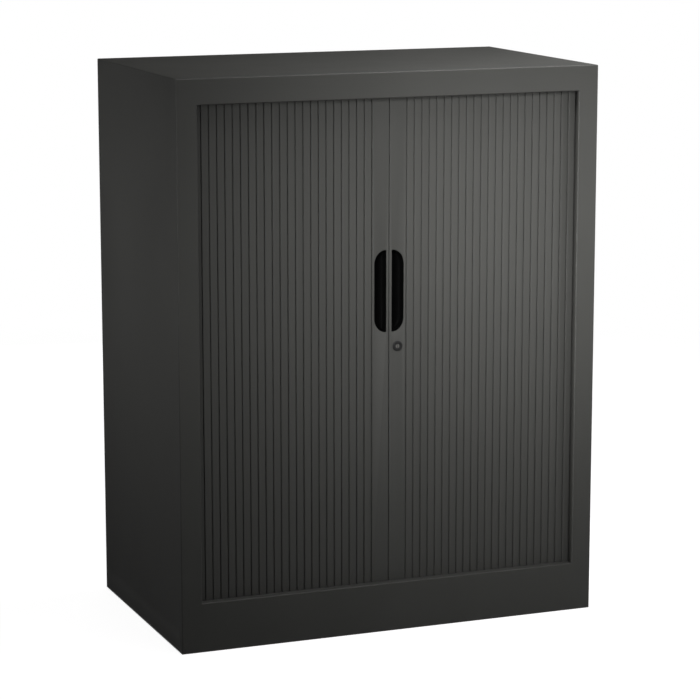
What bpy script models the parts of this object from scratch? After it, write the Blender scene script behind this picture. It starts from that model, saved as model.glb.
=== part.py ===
"""Steel cabinet with two tambour doors that slide sideways round the front corners.

Metres, +Z up, +X to the right, front towards -Y, origin on the ground below the centre.
The right-hand pieces are drawn, and the left-hand ones are the same shapes mirrored in X.
"""

import math

import bmesh
import bpy
from mathutils import Matrix, Vector

# Cabinet shell
WIDTH = 0.800
DEPTH = 0.470
HEIGHT = 1.016
GROUND_CLEARANCE = 0.001
SHEET = 0.001
BEND_RADIUS = 0.0015
STILE_WIDTH = 0.038
FASCIA_HEIGHT = 0.046
PLINTH_HEIGHT = 0.091
RETURN_DEPTH = 0.016
RETURN_LIP = 0.020
REAR_FLANGE = 0.018
BACK_FLANGE = 0.012
PLINTH_FOOT_FLANGE = 0.020

# Fits and cuts
GAP = 0.0003
CUT_OVERRUN = 0.002
WELD = 0.00001

# Curtain slats, seen from above: a flat face, a bead on a neck and a socket for the next bead
SLAT_PITCH = 0.0144
GROOVE_WIDTH = 0.0022
FACE_THICKNESS = 0.0015
FACE_EDGE = 0.0004
WEB_THICKNESS = 0.0010
BEAD_RADIUS = 0.0012
BEAD_DEPTH = 0.0038
BEAD_SETBACK = 0.0022
NECK_THICKNESS = 0.0010
GROOVE_DEPTH = 0.0018
SOCKET_CLEARANCE = 0.0004
SOCKET_WALL = 0.0008
SOCKET_MOUTH_ANGLE = math.radians(48)
STRIPS_PER_DOOR = 7
TAIL_SLATS = 4
CORNER_SLACK_SHARE = 0.1

# Route of the curtain and its tracks
CURTAIN_SETBACK = 0.018
CORNER_RADIUS = 0.028
SIDE_RUN_INSET = 0.0105
TRACK_CLEARANCE = 0.0005
TRACK_WALL = 0.0012
TRACK_DEPTH = 0.010
TRACK_END_MARGIN = 0.008
SLAT_TOP_CLEARANCE = 0.002

# Leading stile, handle cup and its place
DOOR_GAP = 0.0015
LEADING_STILE_WIDTH = 0.0325
LEADING_STILE_DEPTH = 0.012
LEADING_STILE_WALL = 0.0016
END_NOTCH_CLEARANCE = 0.001
CUP_HEIGHT = 0.1476
CUP_WIDTH = 0.0227
CUP_INSET = 0.0046
CUP_CENTRE_HEIGHT = 0.6246
CUP_DEPTH = 0.0152
CUP_WALL = 0.0012
CUP_OUTER_RADIUS = 0.0195
CUP_INNER_RADIUS = 0.0030

# Lock in the right leading stile, and the keeper on the left one
LOCK_OFFSET = 0.0165
LOCK_BELOW_CUP = 0.0268
LOCK_FLANGE_RADIUS = 0.0093
LOCK_FLANGE_PROUD = 0.0018
LOCK_BARREL_RADIUS = 0.0080
LOCK_BARREL_TAIL = 0.001
PLUG_RADIUS = 0.0055
PLUG_RECESS = 0.0005
PLUG_TAIL = 0.0019
KEYWAY_WIDTH = 0.0014
KEYWAY_HEIGHT = 0.0066
KEYWAY_DEPTH = 0.006
HOOK_THICKNESS = 0.002
HOOK_HUB_RADIUS = 0.007
HOOK_ARM_WIDTH = 0.008
HOOK_REACH = 0.0267
HOOK_TOOTH_WIDTH = 0.005
HOOK_TOOTH_HEIGHT = 0.005
KEEPER_THICKNESS = 0.0015
KEEPER_PLATE_WIDTH = 0.020
KEEPER_HEIGHT = 0.016
KEEPER_TAB_DEPTH = 0.0034
KEEPER_CLEARANCE = 0.0005
KEEPER_SLACK = 0.0007

# Inner liners with their slots, shelves and shelf clips
LINER_FRONT_CLEARANCE = 0.0038
LINER_HEM = 0.008
LINER_REAR_FLANGE = 0.015
SLOT_WIDTH = 0.013
SLOT_HEIGHT = 0.0032
SLOT_PITCH = 0.030
SLOT_MARGIN = 0.040
SHELF_FRONT_SETBACK = 0.047
SHELF_REAR_CLEARANCE = 0.004
SHELF_EDGE_HEIGHT = 0.025
SHELF_LIP = 0.018
SHELF_HEIGHT_SHARES = (0.335, 0.68)
CLIP_THICKNESS = 0.0015
CLIP_WIDTH = 0.0124
CLIP_LEG = 0.014
CLIP_LEDGE = 0.013
CLIP_HOOK = 0.006

# Base: pan, inner floor, runners and levelling feet
PAN_FLANGE = 0.020
RUNNER_WIDTH = 0.050
RUNNER_SHEET = 0.002
RUNNER_HEIGHT_ABOVE_GROUND = 0.012
FOOT_SIDE_INSET = 0.055
FOOT_END_INSET = 0.045
FOOT_PAD_RADIUS = 0.019
FOOT_PAD_HEIGHT = 0.006
FOOT_PAD_CHAMFER = 0.0015
FOOT_NECK_RADIUS = 0.012
FOOT_COLLAR_RADIUS = 0.0085
FOOT_STEM_RADIUS = 0.005
FOOT_STEM_LENGTH = 0.042

# Fineness of the round stretches
BEND_STEPS = 3
BEAD_STEPS = 7
SOCKET_STEPS = 6
TRACK_CORNER_STEPS = 12
CUP_CORNER_STEPS = 8
CUP_SMALL_STEPS = 3
TURNED_STEPS = 24
HOOK_HUB_STEPS = 10
SHARP_ANGLE = math.radians(40)

# Sizes that follow from the ones above
HALF_WIDTH = WIDTH / 2
FRONT_Y = -DEPTH / 2
REAR_Y = DEPTH / 2
OPENING_HALF_WIDTH = HALF_WIDTH - STILE_WIDTH
OPENING_TOP = HEIGHT - FASCIA_HEIGHT
SHELL_TOP = HEIGHT - SHEET - GAP
RETURN_END_Y = FRONT_Y + RETURN_DEPTH
PAN_FRONT_Y = RETURN_END_Y + GAP
BACK_PANEL_REAR_Y = REAR_Y - SHEET - GAP
INNER_REAR_Y = BACK_PANEL_REAR_Y - SHEET - GAP
SOCKET_BORE = BEAD_RADIUS + SOCKET_CLEARANCE
SOCKET_RADIUS = SOCKET_BORE + SOCKET_WALL
SOCKET_LIP_REACH = SOCKET_RADIUS * math.cos(SOCKET_MOUTH_ANGLE)
SLAT_DEPTH = BEAD_DEPTH + SOCKET_RADIUS
FACE_Y = FRONT_Y + CURTAIN_SETBACK
PIVOT_Y = FACE_Y + BEAD_DEPTH
FIRST_PIVOT_X = DOOR_GAP / 2 + LEADING_STILE_WIDTH - BEAD_SETBACK
SIDE_PIVOT_X = HALF_WIDTH - SIDE_RUN_INSET
CORNER_X = SIDE_PIVOT_X - CORNER_RADIUS
CORNER_Y = PIVOT_Y + CORNER_RADIUS
FRONT_RUN = CORNER_X - FIRST_PIVOT_X
CORNER_RUN = CORNER_RADIUS * math.pi / 2
SLATS_PER_STRIP = int(FRONT_RUN / SLAT_PITCH / STRIPS_PER_DOOR)
STRIP_PITCH = SLATS_PER_STRIP * SLAT_PITCH
MOVING_SLATS = STRIPS_PER_DOOR * SLATS_PER_STRIP
DOOR_TRAVEL = MOVING_SLATS * SLAT_PITCH
CORNER_END_SLAT = math.ceil((FRONT_RUN + CORNER_RUN) / SLAT_PITCH - CORNER_SLACK_SHARE)
CORNER_SLATS = CORNER_END_SLAT - MOVING_SLATS
TRACK_OUTER = BEAD_DEPTH + TRACK_CLEARANCE
TRACK_INNER = SOCKET_RADIUS + TRACK_CLEARANCE
BOTTOM_TRACK_FLOOR = PLINTH_HEIGHT - TRACK_DEPTH
TOP_TRACK_ROOF = OPENING_TOP + TRACK_DEPTH
SLAT_BOTTOM = BOTTOM_TRACK_FLOOR + GAP
SLAT_TOP = TOP_TRACK_ROOF - SLAT_TOP_CLEARANCE
PAN_TOP = BOTTOM_TRACK_FLOOR - TRACK_WALL - GAP
CEILING_BOTTOM = TOP_TRACK_ROOF + TRACK_WALL + GAP
LEADING_BACK_Y = FACE_Y + LEADING_STILE_DEPTH
LINER_FRONT_Y = FACE_Y + SLAT_DEPTH + LINER_FRONT_CLEARANCE
LINER_FACE_X = OPENING_HALF_WIDTH - SHEET
FLOOR_FRONT_Y = PIVOT_Y + TRACK_INNER + TRACK_WALL + GAP
SHELF_FRONT_Y = FRONT_Y + SHELF_FRONT_SETBACK
SHELF_REAR_Y = INNER_REAR_Y - SHELF_REAR_CLEARANCE
FIRST_SLOT_Z = PLINTH_HEIGHT + SLOT_MARGIN
SLOT_COUNT = int((OPENING_TOP - SLOT_MARGIN - FIRST_SLOT_Z) / SLOT_PITCH) + 1
SLOT_COLUMNS = (SHELF_FRONT_Y + SHELF_LIP / 2, SHELF_REAR_Y - SHELF_LIP / 2)
CLIP_FACE_X = LINER_FACE_X - GAP - CLIP_THICKNESS
CUP_BACK_Y = FACE_Y + CUP_DEPTH
LOCK_HEIGHT = CUP_CENTRE_HEIGHT - CUP_HEIGHT / 2 - LOCK_BELOW_CUP
HOOK_FRONT_Y = LEADING_BACK_Y + PLUG_TAIL + GAP
FOOT_X = HALF_WIDTH - FOOT_SIDE_INSET
FOOT_Y = DEPTH / 2 - FOOT_END_INSET


def fresh_scene():
    """Empty the scene and make one collection for the parts and one for the cutters."""
    for obj in list(bpy.data.objects):
        bpy.data.objects.remove(obj, do_unlink=True)
    parts = bpy.data.collections.new("tambour_door_cabinet")
    cutters = bpy.data.collections.new("cutters")
    bpy.context.scene.collection.children.link(parts)
    bpy.context.scene.collection.children.link(cutters)
    return parts, cutters


PARTS, CUTTERS = fresh_scene()


def material(name, colour, roughness, metallic):
    """A Principled material with one colour."""
    made = bpy.data.materials.new(name)
    made.use_nodes = True
    made.diffuse_color = (*colour, 1.0)
    shader = made.node_tree.nodes["Principled BSDF"]
    shader.inputs["Base Color"].default_value = (*colour, 1.0)
    shader.inputs["Roughness"].default_value = roughness
    shader.inputs["Metallic"].default_value = metallic
    return made


def graphite_coat():
    """Satin graphite powder coat on steel sheet."""
    return material("graphite_powder_coat", (0.062, 0.062, 0.058), 0.5, 0.0)


def graphite_plastic():
    """Extruded slats in the same graphite."""
    return material("graphite_slat_plastic", (0.080, 0.080, 0.075), 0.5, 0.0)


def black_plastic():
    """Moulded black plastic."""
    return material("black_plastic", (0.010, 0.010, 0.010), 0.45, 0.0)


def track_plastic():
    """Dark grey track extrusion."""
    return material("track_plastic", (0.030, 0.030, 0.032), 0.5, 0.0)


def zinc_plate():
    """Bright zinc plated steel."""
    return material("zinc_plate", (0.55, 0.56, 0.57), 0.35, 1.0)


def lock_nickel():
    """Nickel plated lock parts."""
    return material("lock_nickel", (0.45, 0.45, 0.44), 0.3, 1.0)


def side_name(side):
    """Word for a side: +1 is right, -1 is left."""
    return "right" if side > 0 else "left"


def end_name(end):
    """Word for an end: +1 is rear, -1 is front."""
    return "rear" if end > 0 else "front"


def link(obj, collection, finish=None):
    """Put an object in its collection and give it its material."""
    collection.objects.link(obj)
    if finish is not None:
        obj.data.materials.append(finish)
    return obj


def smoothed(mesh):
    """Mesh shaded smooth over its round stretches and flat over its corners."""
    mesh.shade_smooth()
    mesh.set_sharp_from_angle(angle=SHARP_ANGLE)
    return mesh


def filleted(points, radius, steps):
    """The same open path with each inner corner rounded to the radius."""
    path = [Vector(points[0])]
    for before, corner, after in zip(points, points[1:], points[2:]):
        corner = Vector(corner)
        back = (Vector(before) - corner).normalized()
        ahead = (Vector(after) - corner).normalized()
        half = back.angle(ahead) / 2
        reach = radius / math.tan(half)
        centre = corner + (back + ahead).normalized() * (radius / math.sin(half))
        start = corner + back * reach - centre
        sweep = math.pi - 2 * half
        turn = 1 if back.cross(ahead) < 0 else -1
        for step in range(steps + 1):
            angle = turn * sweep * step / steps
            path.append(centre + Matrix.Rotation(angle, 2) @ start)
    path.append(Vector(points[-1]))
    return path


def arc(centre, radius, start, end, steps):
    """Points of an arc from one angle to another, both ends included."""
    angles = [start + (end - start) * step / steps for step in range(steps + 1)]
    return [(centre[0] + radius * math.cos(a), centre[1] + radius * math.sin(a)) for a in angles]


def mirrored(points, side):
    """Path or outline for one side, in the order that keeps its outer face on the right."""
    if side > 0:
        return list(points)
    return [(-x, y) for x, y in reversed(points)]


AXIS_FRAMES = {
    "Z": Matrix(((1, 0, 0), (0, 1, 0), (0, 0, 1))),
    "X": Matrix(((0, 0, 1), (1, 0, 0), (0, 1, 0))),
    "Y": Matrix(((0, 1, 0), (0, 0, 1), (1, 0, 0))),
}


def folded_sheet(name, path, low, high, axis, finish, thickness=SHEET, bend=BEND_RADIUS):
    """Sheet folded along a path and run along an axis; the path keeps its outer face on the right.

    The path lies in the plane XY for axis Z, YZ for axis X and ZX for axis Y.
    """
    points = filleted(path, bend, BEND_STEPS) if len(path) > 2 else [Vector(p) for p in path]
    frame = AXIS_FRAMES[axis]
    mesh = bpy.data.meshes.new(name)
    builder = bmesh.new()
    verts = [builder.verts.new(frame @ Vector((p.x, p.y, low))) for p in points]
    edges = [builder.edges.new(pair) for pair in zip(verts, verts[1:])]
    grown = bmesh.ops.extrude_edge_only(builder, edges=edges)["geom"]
    moved = [item for item in grown if isinstance(item, bmesh.types.BMVert)]
    bmesh.ops.translate(builder, verts=moved, vec=frame @ Vector((0, 0, high - low)))
    outward = frame @ Vector(((points[1] - points[0]).y, -(points[1] - points[0]).x, 0))
    first = next(face for face in builder.faces if all(v in face.verts for v in verts[:2]))
    first.normal_update()
    if first.normal.dot(outward) < 0:
        bmesh.ops.reverse_faces(builder, faces=builder.faces)
    builder.to_mesh(mesh)
    builder.free()
    obj = link(bpy.data.objects.new(name, mesh), PARTS, finish)
    shell = obj.modifiers.new("sheet", "SOLIDIFY")
    shell.thickness = thickness
    shell.offset = -1.0
    shell.use_even_offset = True
    return obj


def outline_solid(name, outline, low, high, axis, collection=None, finish=None):
    """Flat outline filled and extruded from low to high along an axis, as a welded mesh."""
    curve = bpy.data.curves.new(name, "CURVE")
    curve.dimensions = "2D"
    curve.fill_mode = "BOTH"
    curve.extrude = (high - low) / 2
    spline = curve.splines.new("POLY")
    spline.points.add(len(outline) - 1)
    for point, place in zip(spline.points, outline):
        point.co = (place[0], place[1], 0.0, 1.0)
    spline.use_cyclic_u = True
    drawn = bpy.data.objects.new(name, curve)
    bpy.context.scene.collection.objects.link(drawn)
    frame = AXIS_FRAMES[axis].to_4x4()
    place = frame @ Matrix.Translation((0, 0, (high + low) / 2))
    bpy.context.view_layer.update()
    mesh = bpy.data.meshes.new_from_object(drawn.evaluated_get(bpy.context.evaluated_depsgraph_get()))
    mesh.name = name
    bpy.data.objects.remove(drawn, do_unlink=True)
    builder = bmesh.new()
    builder.from_mesh(mesh)
    bmesh.ops.remove_doubles(builder, verts=builder.verts, dist=WELD)
    bmesh.ops.transform(builder, matrix=place, verts=builder.verts)
    bmesh.ops.recalc_face_normals(builder, faces=builder.faces)
    builder.to_mesh(mesh)
    builder.free()
    return link(bpy.data.objects.new(name, smoothed(mesh)), collection or PARTS, finish)


def box(name, low, high, collection=None, finish=None):
    """Box between two corners, as a cube primitive with its origin at its middle."""
    mesh = bpy.data.meshes.new(name)
    builder = bmesh.new()
    bmesh.ops.create_cube(builder, size=1.0)
    size = Vector(high) - Vector(low)
    bmesh.ops.scale(builder, vec=size, verts=builder.verts)
    builder.to_mesh(mesh)
    builder.free()
    obj = link(bpy.data.objects.new(name, mesh), collection or PARTS, finish)
    obj.location = (Vector(high) + Vector(low)) / 2
    return obj


def rod(name, radius, low, high, centre, axis, collection):
    """Cylinder along an axis between two heights; the centre lies in the plane across it."""
    mesh = bpy.data.meshes.new(name)
    builder = bmesh.new()
    bmesh.ops.create_cone(
        builder, cap_ends=True, segments=TURNED_STEPS, radius1=radius, radius2=radius, depth=high - low
    )
    place = Matrix.Translation((centre[0], centre[1], (high + low) / 2))
    bmesh.ops.transform(builder, matrix=AXIS_FRAMES[axis].to_4x4() @ place, verts=builder.verts)
    builder.to_mesh(mesh)
    builder.free()
    return link(bpy.data.objects.new(name, mesh), collection)


def turned(name, profile, closed, finish):
    """Profile of radius and height, top to bottom down its outer side, turned about local Z."""
    mesh = bpy.data.meshes.new(name)
    builder = bmesh.new()
    verts = [builder.verts.new((radius, 0, height)) for radius, height in profile]
    pairs = list(zip(verts, verts[1:]))
    if closed:
        pairs.append((verts[-1], verts[0]))
    for pair in pairs:
        builder.edges.new(pair)
    builder.to_mesh(mesh)
    builder.free()
    obj = link(bpy.data.objects.new(name, mesh), PARTS, finish)
    screw = obj.modifiers.new("turn", "SCREW")
    screw.angle = 2 * math.pi
    screw.steps = TURNED_STEPS
    screw.render_steps = TURNED_STEPS
    screw.use_merge_vertices = True
    screw.merge_threshold = WELD
    bpy.context.view_layer.update()
    solid = bpy.data.meshes.new_from_object(obj.evaluated_get(bpy.context.evaluated_depsgraph_get()))
    solid.name = name
    obj.modifiers.clear()
    obj.data = smoothed(solid)
    bpy.data.meshes.remove(mesh)
    return obj


def cut(target, cutter):
    """Take a cutter's shape out of a piece."""
    cutter.hide_render = True
    cutter.display_type = "WIRE"
    step = target.modifiers.new("cut_" + cutter.name, "BOOLEAN")
    step.operation = "DIFFERENCE"
    step.solver = "EXACT"
    step.object = cutter
    return target


def joint_empty(name, place):
    """Empty on a joint's axis, which carries the pieces that move with it."""
    empty = bpy.data.objects.new(name, None)
    empty.location = place
    PARTS.objects.link(empty)
    return empty


def carry(empty, *pieces):
    """Parent pieces to an empty and leave them where they are."""
    for piece in pieces:
        piece.parent = empty
        piece.matrix_parent_inverse = Matrix.Translation(-empty.location)


def side_panel(side, finish):
    """Side sheet with the front stile, its return into the opening and the rear flange."""
    path = [
        (OPENING_HALF_WIDTH, RETURN_END_Y),
        (OPENING_HALF_WIDTH, FRONT_Y),
        (HALF_WIDTH, FRONT_Y),
        (HALF_WIDTH, REAR_Y),
        (HALF_WIDTH - REAR_FLANGE, REAR_Y),
    ]
    name = "side_panel_" + side_name(side)
    return folded_sheet(name, mirrored(path, side), GROUND_CLEARANCE, SHELL_TOP, "Z", finish)


def top_panel(finish):
    """Lid sheet with a rear flange, the fascia, its return and lip; both fit between the sides."""
    path = [
        (REAR_Y, HEIGHT - REAR_FLANGE),
        (REAR_Y, HEIGHT),
        (FRONT_Y, HEIGHT),
        (FRONT_Y, OPENING_TOP),
        (RETURN_END_Y, OPENING_TOP),
        (RETURN_END_Y, OPENING_TOP + RETURN_LIP),
    ]
    panel = folded_sheet("top_panel", path, -HALF_WIDTH, HALF_WIDTH, "X", finish)
    for side in (1, -1):
        near = side * (OPENING_HALF_WIDTH - GAP)
        far = side * (HALF_WIDTH + CUT_OVERRUN)
        low = (min(near, far), FRONT_Y - CUT_OVERRUN, OPENING_TOP - CUT_OVERRUN)
        high = (max(near, far), RETURN_END_Y + CUT_OVERRUN, HEIGHT - SHEET)
        cut(panel, box("fascia_notch_" + side_name(side), low, high, CUTTERS))
        near = side * (HALF_WIDTH - REAR_FLANGE - GAP)
        low = (min(near, far), REAR_Y - SHEET - BEND_RADIUS, HEIGHT - REAR_FLANGE - CUT_OVERRUN)
        high = (max(near, far), REAR_Y + CUT_OVERRUN, HEIGHT - SHEET)
        cut(panel, box("rear_notch_" + side_name(side), low, high, CUTTERS))
    return panel


def plinth(finish):
    """Front rail under the doors, with the ledge, its lip and a foot flange."""
    path = [
        (RETURN_END_Y, PLINTH_HEIGHT - RETURN_LIP),
        (RETURN_END_Y, PLINTH_HEIGHT),
        (FRONT_Y, PLINTH_HEIGHT),
        (FRONT_Y, GROUND_CLEARANCE),
        (FRONT_Y + PLINTH_FOOT_FLANGE, GROUND_CLEARANCE),
    ]
    reach = OPENING_HALF_WIDTH - GAP
    return folded_sheet("plinth", path, -reach, reach, "X", finish)


def back_panel(finish):
    """Flat back between the rear flanges, with its top and bottom edges folded forward."""
    path = [
        (BACK_PANEL_REAR_Y - BACK_FLANGE, GROUND_CLEARANCE),
        (BACK_PANEL_REAR_Y, GROUND_CLEARANCE),
        (BACK_PANEL_REAR_Y, SHELL_TOP),
        (BACK_PANEL_REAR_Y - BACK_FLANGE, SHELL_TOP),
    ]
    reach = HALF_WIDTH - SHEET - GAP
    return folded_sheet("back_panel", path, -reach, reach, "X", finish)


def base_pan(finish):
    """Pan that carries the bottom tracks, liners and inner floor; its edges fold down."""
    path = [
        (INNER_REAR_Y, PAN_TOP - PAN_FLANGE),
        (INNER_REAR_Y, PAN_TOP),
        (PAN_FRONT_Y, PAN_TOP),
        (PAN_FRONT_Y, PAN_TOP - PAN_FLANGE),
    ]
    reach = HALF_WIDTH - SHEET - GAP
    return folded_sheet("base_pan", path, -reach, reach, "X", finish)


def ceiling_pan(finish):
    """Pan over the top tracks; its edges fold up to the top panel."""
    path = [
        (PAN_FRONT_Y, SHELL_TOP),
        (PAN_FRONT_Y, CEILING_BOTTOM),
        (INNER_REAR_Y, CEILING_BOTTOM),
        (INNER_REAR_Y, SHELL_TOP - SHEET - GAP),
    ]
    reach = HALF_WIDTH - SHEET - GAP
    return folded_sheet("ceiling_pan", path, -reach, reach, "X", finish)


def inner_floor(finish):
    """Floor of the lowest compartment, level with the plinth, standing on the base pan."""
    path = [
        (INNER_REAR_Y, PAN_TOP + GAP),
        (INNER_REAR_Y, PLINTH_HEIGHT),
        (FLOOR_FRONT_Y, PLINTH_HEIGHT),
        (FLOOR_FRONT_Y, PAN_TOP + GAP),
    ]
    reach = LINER_FACE_X - GAP
    return folded_sheet("inner_floor", path, -reach, reach, "X", finish)


def slot_cutter(side):
    """All the shelf slots of one liner, as one cutter of separate boxes."""
    mesh = bpy.data.meshes.new("slots_" + side_name(side))
    builder = bmesh.new()
    middle = side * (LINER_FACE_X + SHEET / 2)
    size = Vector((SHEET + 2 * CUT_OVERRUN, SLOT_WIDTH, SLOT_HEIGHT))
    for column in SLOT_COLUMNS:
        for row in range(SLOT_COUNT):
            place = Vector((middle, column, FIRST_SLOT_Z + row * SLOT_PITCH))
            cube = bmesh.ops.create_cube(builder, size=1.0)["verts"]
            bmesh.ops.scale(builder, vec=size, verts=cube)
            bmesh.ops.translate(builder, vec=place, verts=cube)
    builder.to_mesh(mesh)
    builder.free()
    return link(bpy.data.objects.new(mesh.name, mesh), CUTTERS)


def liner(side, finish):
    """Inner wall beside the shelves, with a front hem, a rear flange and two columns of slots."""
    path = [
        (LINER_FACE_X + LINER_REAR_FLANGE, INNER_REAR_Y),
        (LINER_FACE_X, INNER_REAR_Y),
        (LINER_FACE_X, LINER_FRONT_Y),
        (LINER_FACE_X + LINER_HEM, LINER_FRONT_Y),
    ]
    name = "liner_" + side_name(side)
    wall = folded_sheet(name, mirrored(path, side), PAN_TOP + GAP, CEILING_BOTTOM - GAP, "Z", finish)
    return cut(wall, slot_cutter(side))


def curtain_point(run):
    """Point of the right-hand pivot line at a run measured from the first pivot."""
    if run <= FRONT_RUN:
        return Vector((FIRST_PIVOT_X + run, PIVOT_Y))
    if run <= FRONT_RUN + CORNER_RUN:
        angle = (run - FRONT_RUN) / CORNER_RADIUS
        across = CORNER_X + CORNER_RADIUS * math.sin(angle)
        return Vector((across, CORNER_Y - CORNER_RADIUS * math.cos(angle)))
    return Vector((SIDE_PIVOT_X, CORNER_Y + run - FRONT_RUN - CORNER_RUN))


def slat_frame(index):
    """Function that places a slat's own point (along the slat, behind its face) on the route."""
    start = curtain_point(index * SLAT_PITCH)
    along = (curtain_point((index + 1) * SLAT_PITCH) - start).normalized()
    outward = Vector((along.y, -along.x))

    def place(reach, depth):
        spot = start + along * reach + outward * (BEAD_DEPTH - depth)
        return (spot.x, spot.y)

    return place


def bead_outline(place):
    """Bead at the start of a slat, from the back of its neck round to the front of it."""
    half_neck = math.asin(NECK_THICKNESS / 2 / BEAD_RADIUS)
    around = arc((0, BEAD_DEPTH), BEAD_RADIUS, half_neck, 2 * math.pi - half_neck, BEAD_STEPS)
    return [place(reach, depth) for reach, depth in around]


def socket_outline(place, centre):
    """Open socket at the end of a slat: front lip, bore, rear lip and back as far as the face."""
    mouth = SOCKET_MOUTH_ANGLE
    bore = arc((centre, BEAD_DEPTH), SOCKET_BORE, 2 * math.pi - mouth, mouth, SOCKET_STEPS)
    front_lip = arc((centre, BEAD_DEPTH), SOCKET_RADIUS, -mouth, -mouth, 1)[:1]
    meets_face = math.pi + math.asin((BEAD_DEPTH - FACE_THICKNESS) / SOCKET_RADIUS)
    back = arc((centre, BEAD_DEPTH), SOCKET_RADIUS, mouth, meets_face, SOCKET_STEPS)
    return [place(reach, depth) for reach, depth in front_lip + bore + back]


def chain_outline(first, count):
    """Outline of slats hooked in a row: bead of the first, socket of the last, bridges between.

    Behind each groove the neck thickens to a shoulder, which keeps the groove shallow.
    """
    shoulder = SOCKET_LIP_REACH + GAP
    face_start = BEAD_SETBACK + GROOVE_WIDTH / 2
    face_end = SLAT_PITCH + BEAD_SETBACK - GROOVE_WIDTH / 2
    neck_front = BEAD_DEPTH - NECK_THICKNESS / 2
    neck_back = BEAD_DEPTH + NECK_THICKNESS / 2
    frames = [slat_frame(first + index) for index in range(count)]
    front = []
    for place in frames:
        front += [place(shoulder, neck_front), place(shoulder, GROOVE_DEPTH)]
        front += [place(face_start, GROOVE_DEPTH), place(face_start, FACE_EDGE)]
        front += [place(face_start + FACE_EDGE, 0), place(face_end - FACE_EDGE, 0)]
        front.append(place(face_end, FACE_EDGE))
        if place is not frames[-1]:
            front.append(place(face_end, neck_front))
    back = []
    for place in reversed(frames):
        if place is frames[-1]:
            back += socket_outline(place, SLAT_PITCH)
        else:
            inner = face_end - WEB_THICKNESS
            back += [place(inner, neck_back), place(inner, FACE_THICKNESS)]
        inner = face_start + WEB_THICKNESS
        back += [place(inner, FACE_THICKNESS), place(inner, neck_back)]
    return front + back + bead_outline(frames[0])


def curtain_piece(name, side, first, count, finish):
    """Row of slats at full height, its ends standing in the tracks."""
    outline = mirrored(chain_outline(first, count), side)
    return outline_solid(name, outline, SLAT_BOTTOM, SLAT_TOP, "Z", finish=finish)


def curtain(side, finish):
    """Front strips, the slats that fill the corner and the tail along the side."""
    word = side_name(side)
    for strip in range(STRIPS_PER_DOOR):
        name = f"curtain_strip_{word}_{strip + 1}"
        piece = curtain_piece(name, side, strip * SLATS_PER_STRIP, SLATS_PER_STRIP, finish)
        middle = FIRST_PIVOT_X + (strip + 1 / 2) * STRIP_PITCH
        slide = joint_empty(f"slide_{word}_strip_{strip + 1}", (side * middle, PIVOT_Y, SLAT_BOTTOM))
        carry(slide, piece)
    curtain_piece("curtain_corner_" + word, side, MOVING_SLATS, CORNER_SLATS, finish)
    tail = curtain_piece("curtain_tail_" + word, side, CORNER_END_SLAT, TAIL_SLATS, finish)
    carry(joint_empty(f"slide_{word}_tail", (side * SIDE_PIVOT_X, CORNER_Y, SLAT_BOTTOM)), tail)


def route_strip(outer, inner, start_x, end_y):
    """Plan outline of a band that follows the route, between two offsets from the pivot line."""
    centre = (CORNER_X, CORNER_Y)
    steps = TRACK_CORNER_STEPS
    outside = arc(centre, CORNER_RADIUS + outer, -math.pi / 2, 0, steps)
    inside = arc(centre, CORNER_RADIUS - inner, 0, -math.pi / 2, steps)
    return [(start_x, PIVOT_Y - outer)] + outside + [
        (SIDE_PIVOT_X + outer, end_y),
        (SIDE_PIVOT_X - inner, end_y),
    ] + inside + [(start_x, PIVOT_Y + inner)]


def track(side, level, finish):
    """Channel for the slat ends, round the corner and along the side, closed at its rear end."""
    word = f"{level}_{side_name(side)}"
    end_y = CORNER_Y + TAIL_SLATS * SLAT_PITCH + DOOR_TRAVEL + TRACK_END_MARGIN
    body_outline = route_strip(TRACK_OUTER + TRACK_WALL, TRACK_INNER + TRACK_WALL, GAP / 2, end_y)
    groove_outline = route_strip(TRACK_OUTER, TRACK_INNER, -CUT_OVERRUN, end_y - TRACK_WALL)
    if level == "bottom":
        body = (BOTTOM_TRACK_FLOOR - TRACK_WALL, PLINTH_HEIGHT)
        groove = (BOTTOM_TRACK_FLOOR, PLINTH_HEIGHT + CUT_OVERRUN)
    else:
        body = (OPENING_TOP, TOP_TRACK_ROOF + TRACK_WALL)
        groove = (OPENING_TOP - CUT_OVERRUN, TOP_TRACK_ROOF)
    rail = outline_solid("track_" + word, mirrored(body_outline, side), *body, "Z", finish=finish)
    channel = outline_solid("groove_" + word, mirrored(groove_outline, side), *groove, "Z", CUTTERS)
    return cut(rail, channel)


def leading_outline():
    """Plan of the leading stile: face, socket for the first slat's bead and the box behind."""

    def place(reach, depth):
        return (FIRST_PIVOT_X + reach, FACE_Y + depth)

    face_end = BEAD_SETBACK - GROOVE_WIDTH / 2
    start = DOOR_GAP / 2 - FIRST_PIVOT_X
    box_end = -SOCKET_RADIUS + SOCKET_WALL / 2
    meets_box = math.acos(box_end / SOCKET_RADIUS)
    mouth = SOCKET_MOUTH_ANGLE
    centre = (0, BEAD_DEPTH)
    lip = arc(centre, SOCKET_RADIUS, -mouth, -mouth, 1)[:1]
    bore = arc(centre, SOCKET_BORE, 2 * math.pi - mouth, mouth, SOCKET_STEPS)
    back = arc(centre, SOCKET_RADIUS, mouth, meets_box, SOCKET_STEPS)
    points = [(start, FACE_EDGE), (start + FACE_EDGE, 0), (face_end - FACE_EDGE, 0), (face_end, FACE_EDGE)]
    points += lip + bore + back
    points += [(box_end, LEADING_STILE_DEPTH), (start, LEADING_STILE_DEPTH)]
    return [place(reach, depth) for reach, depth in points]


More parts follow.
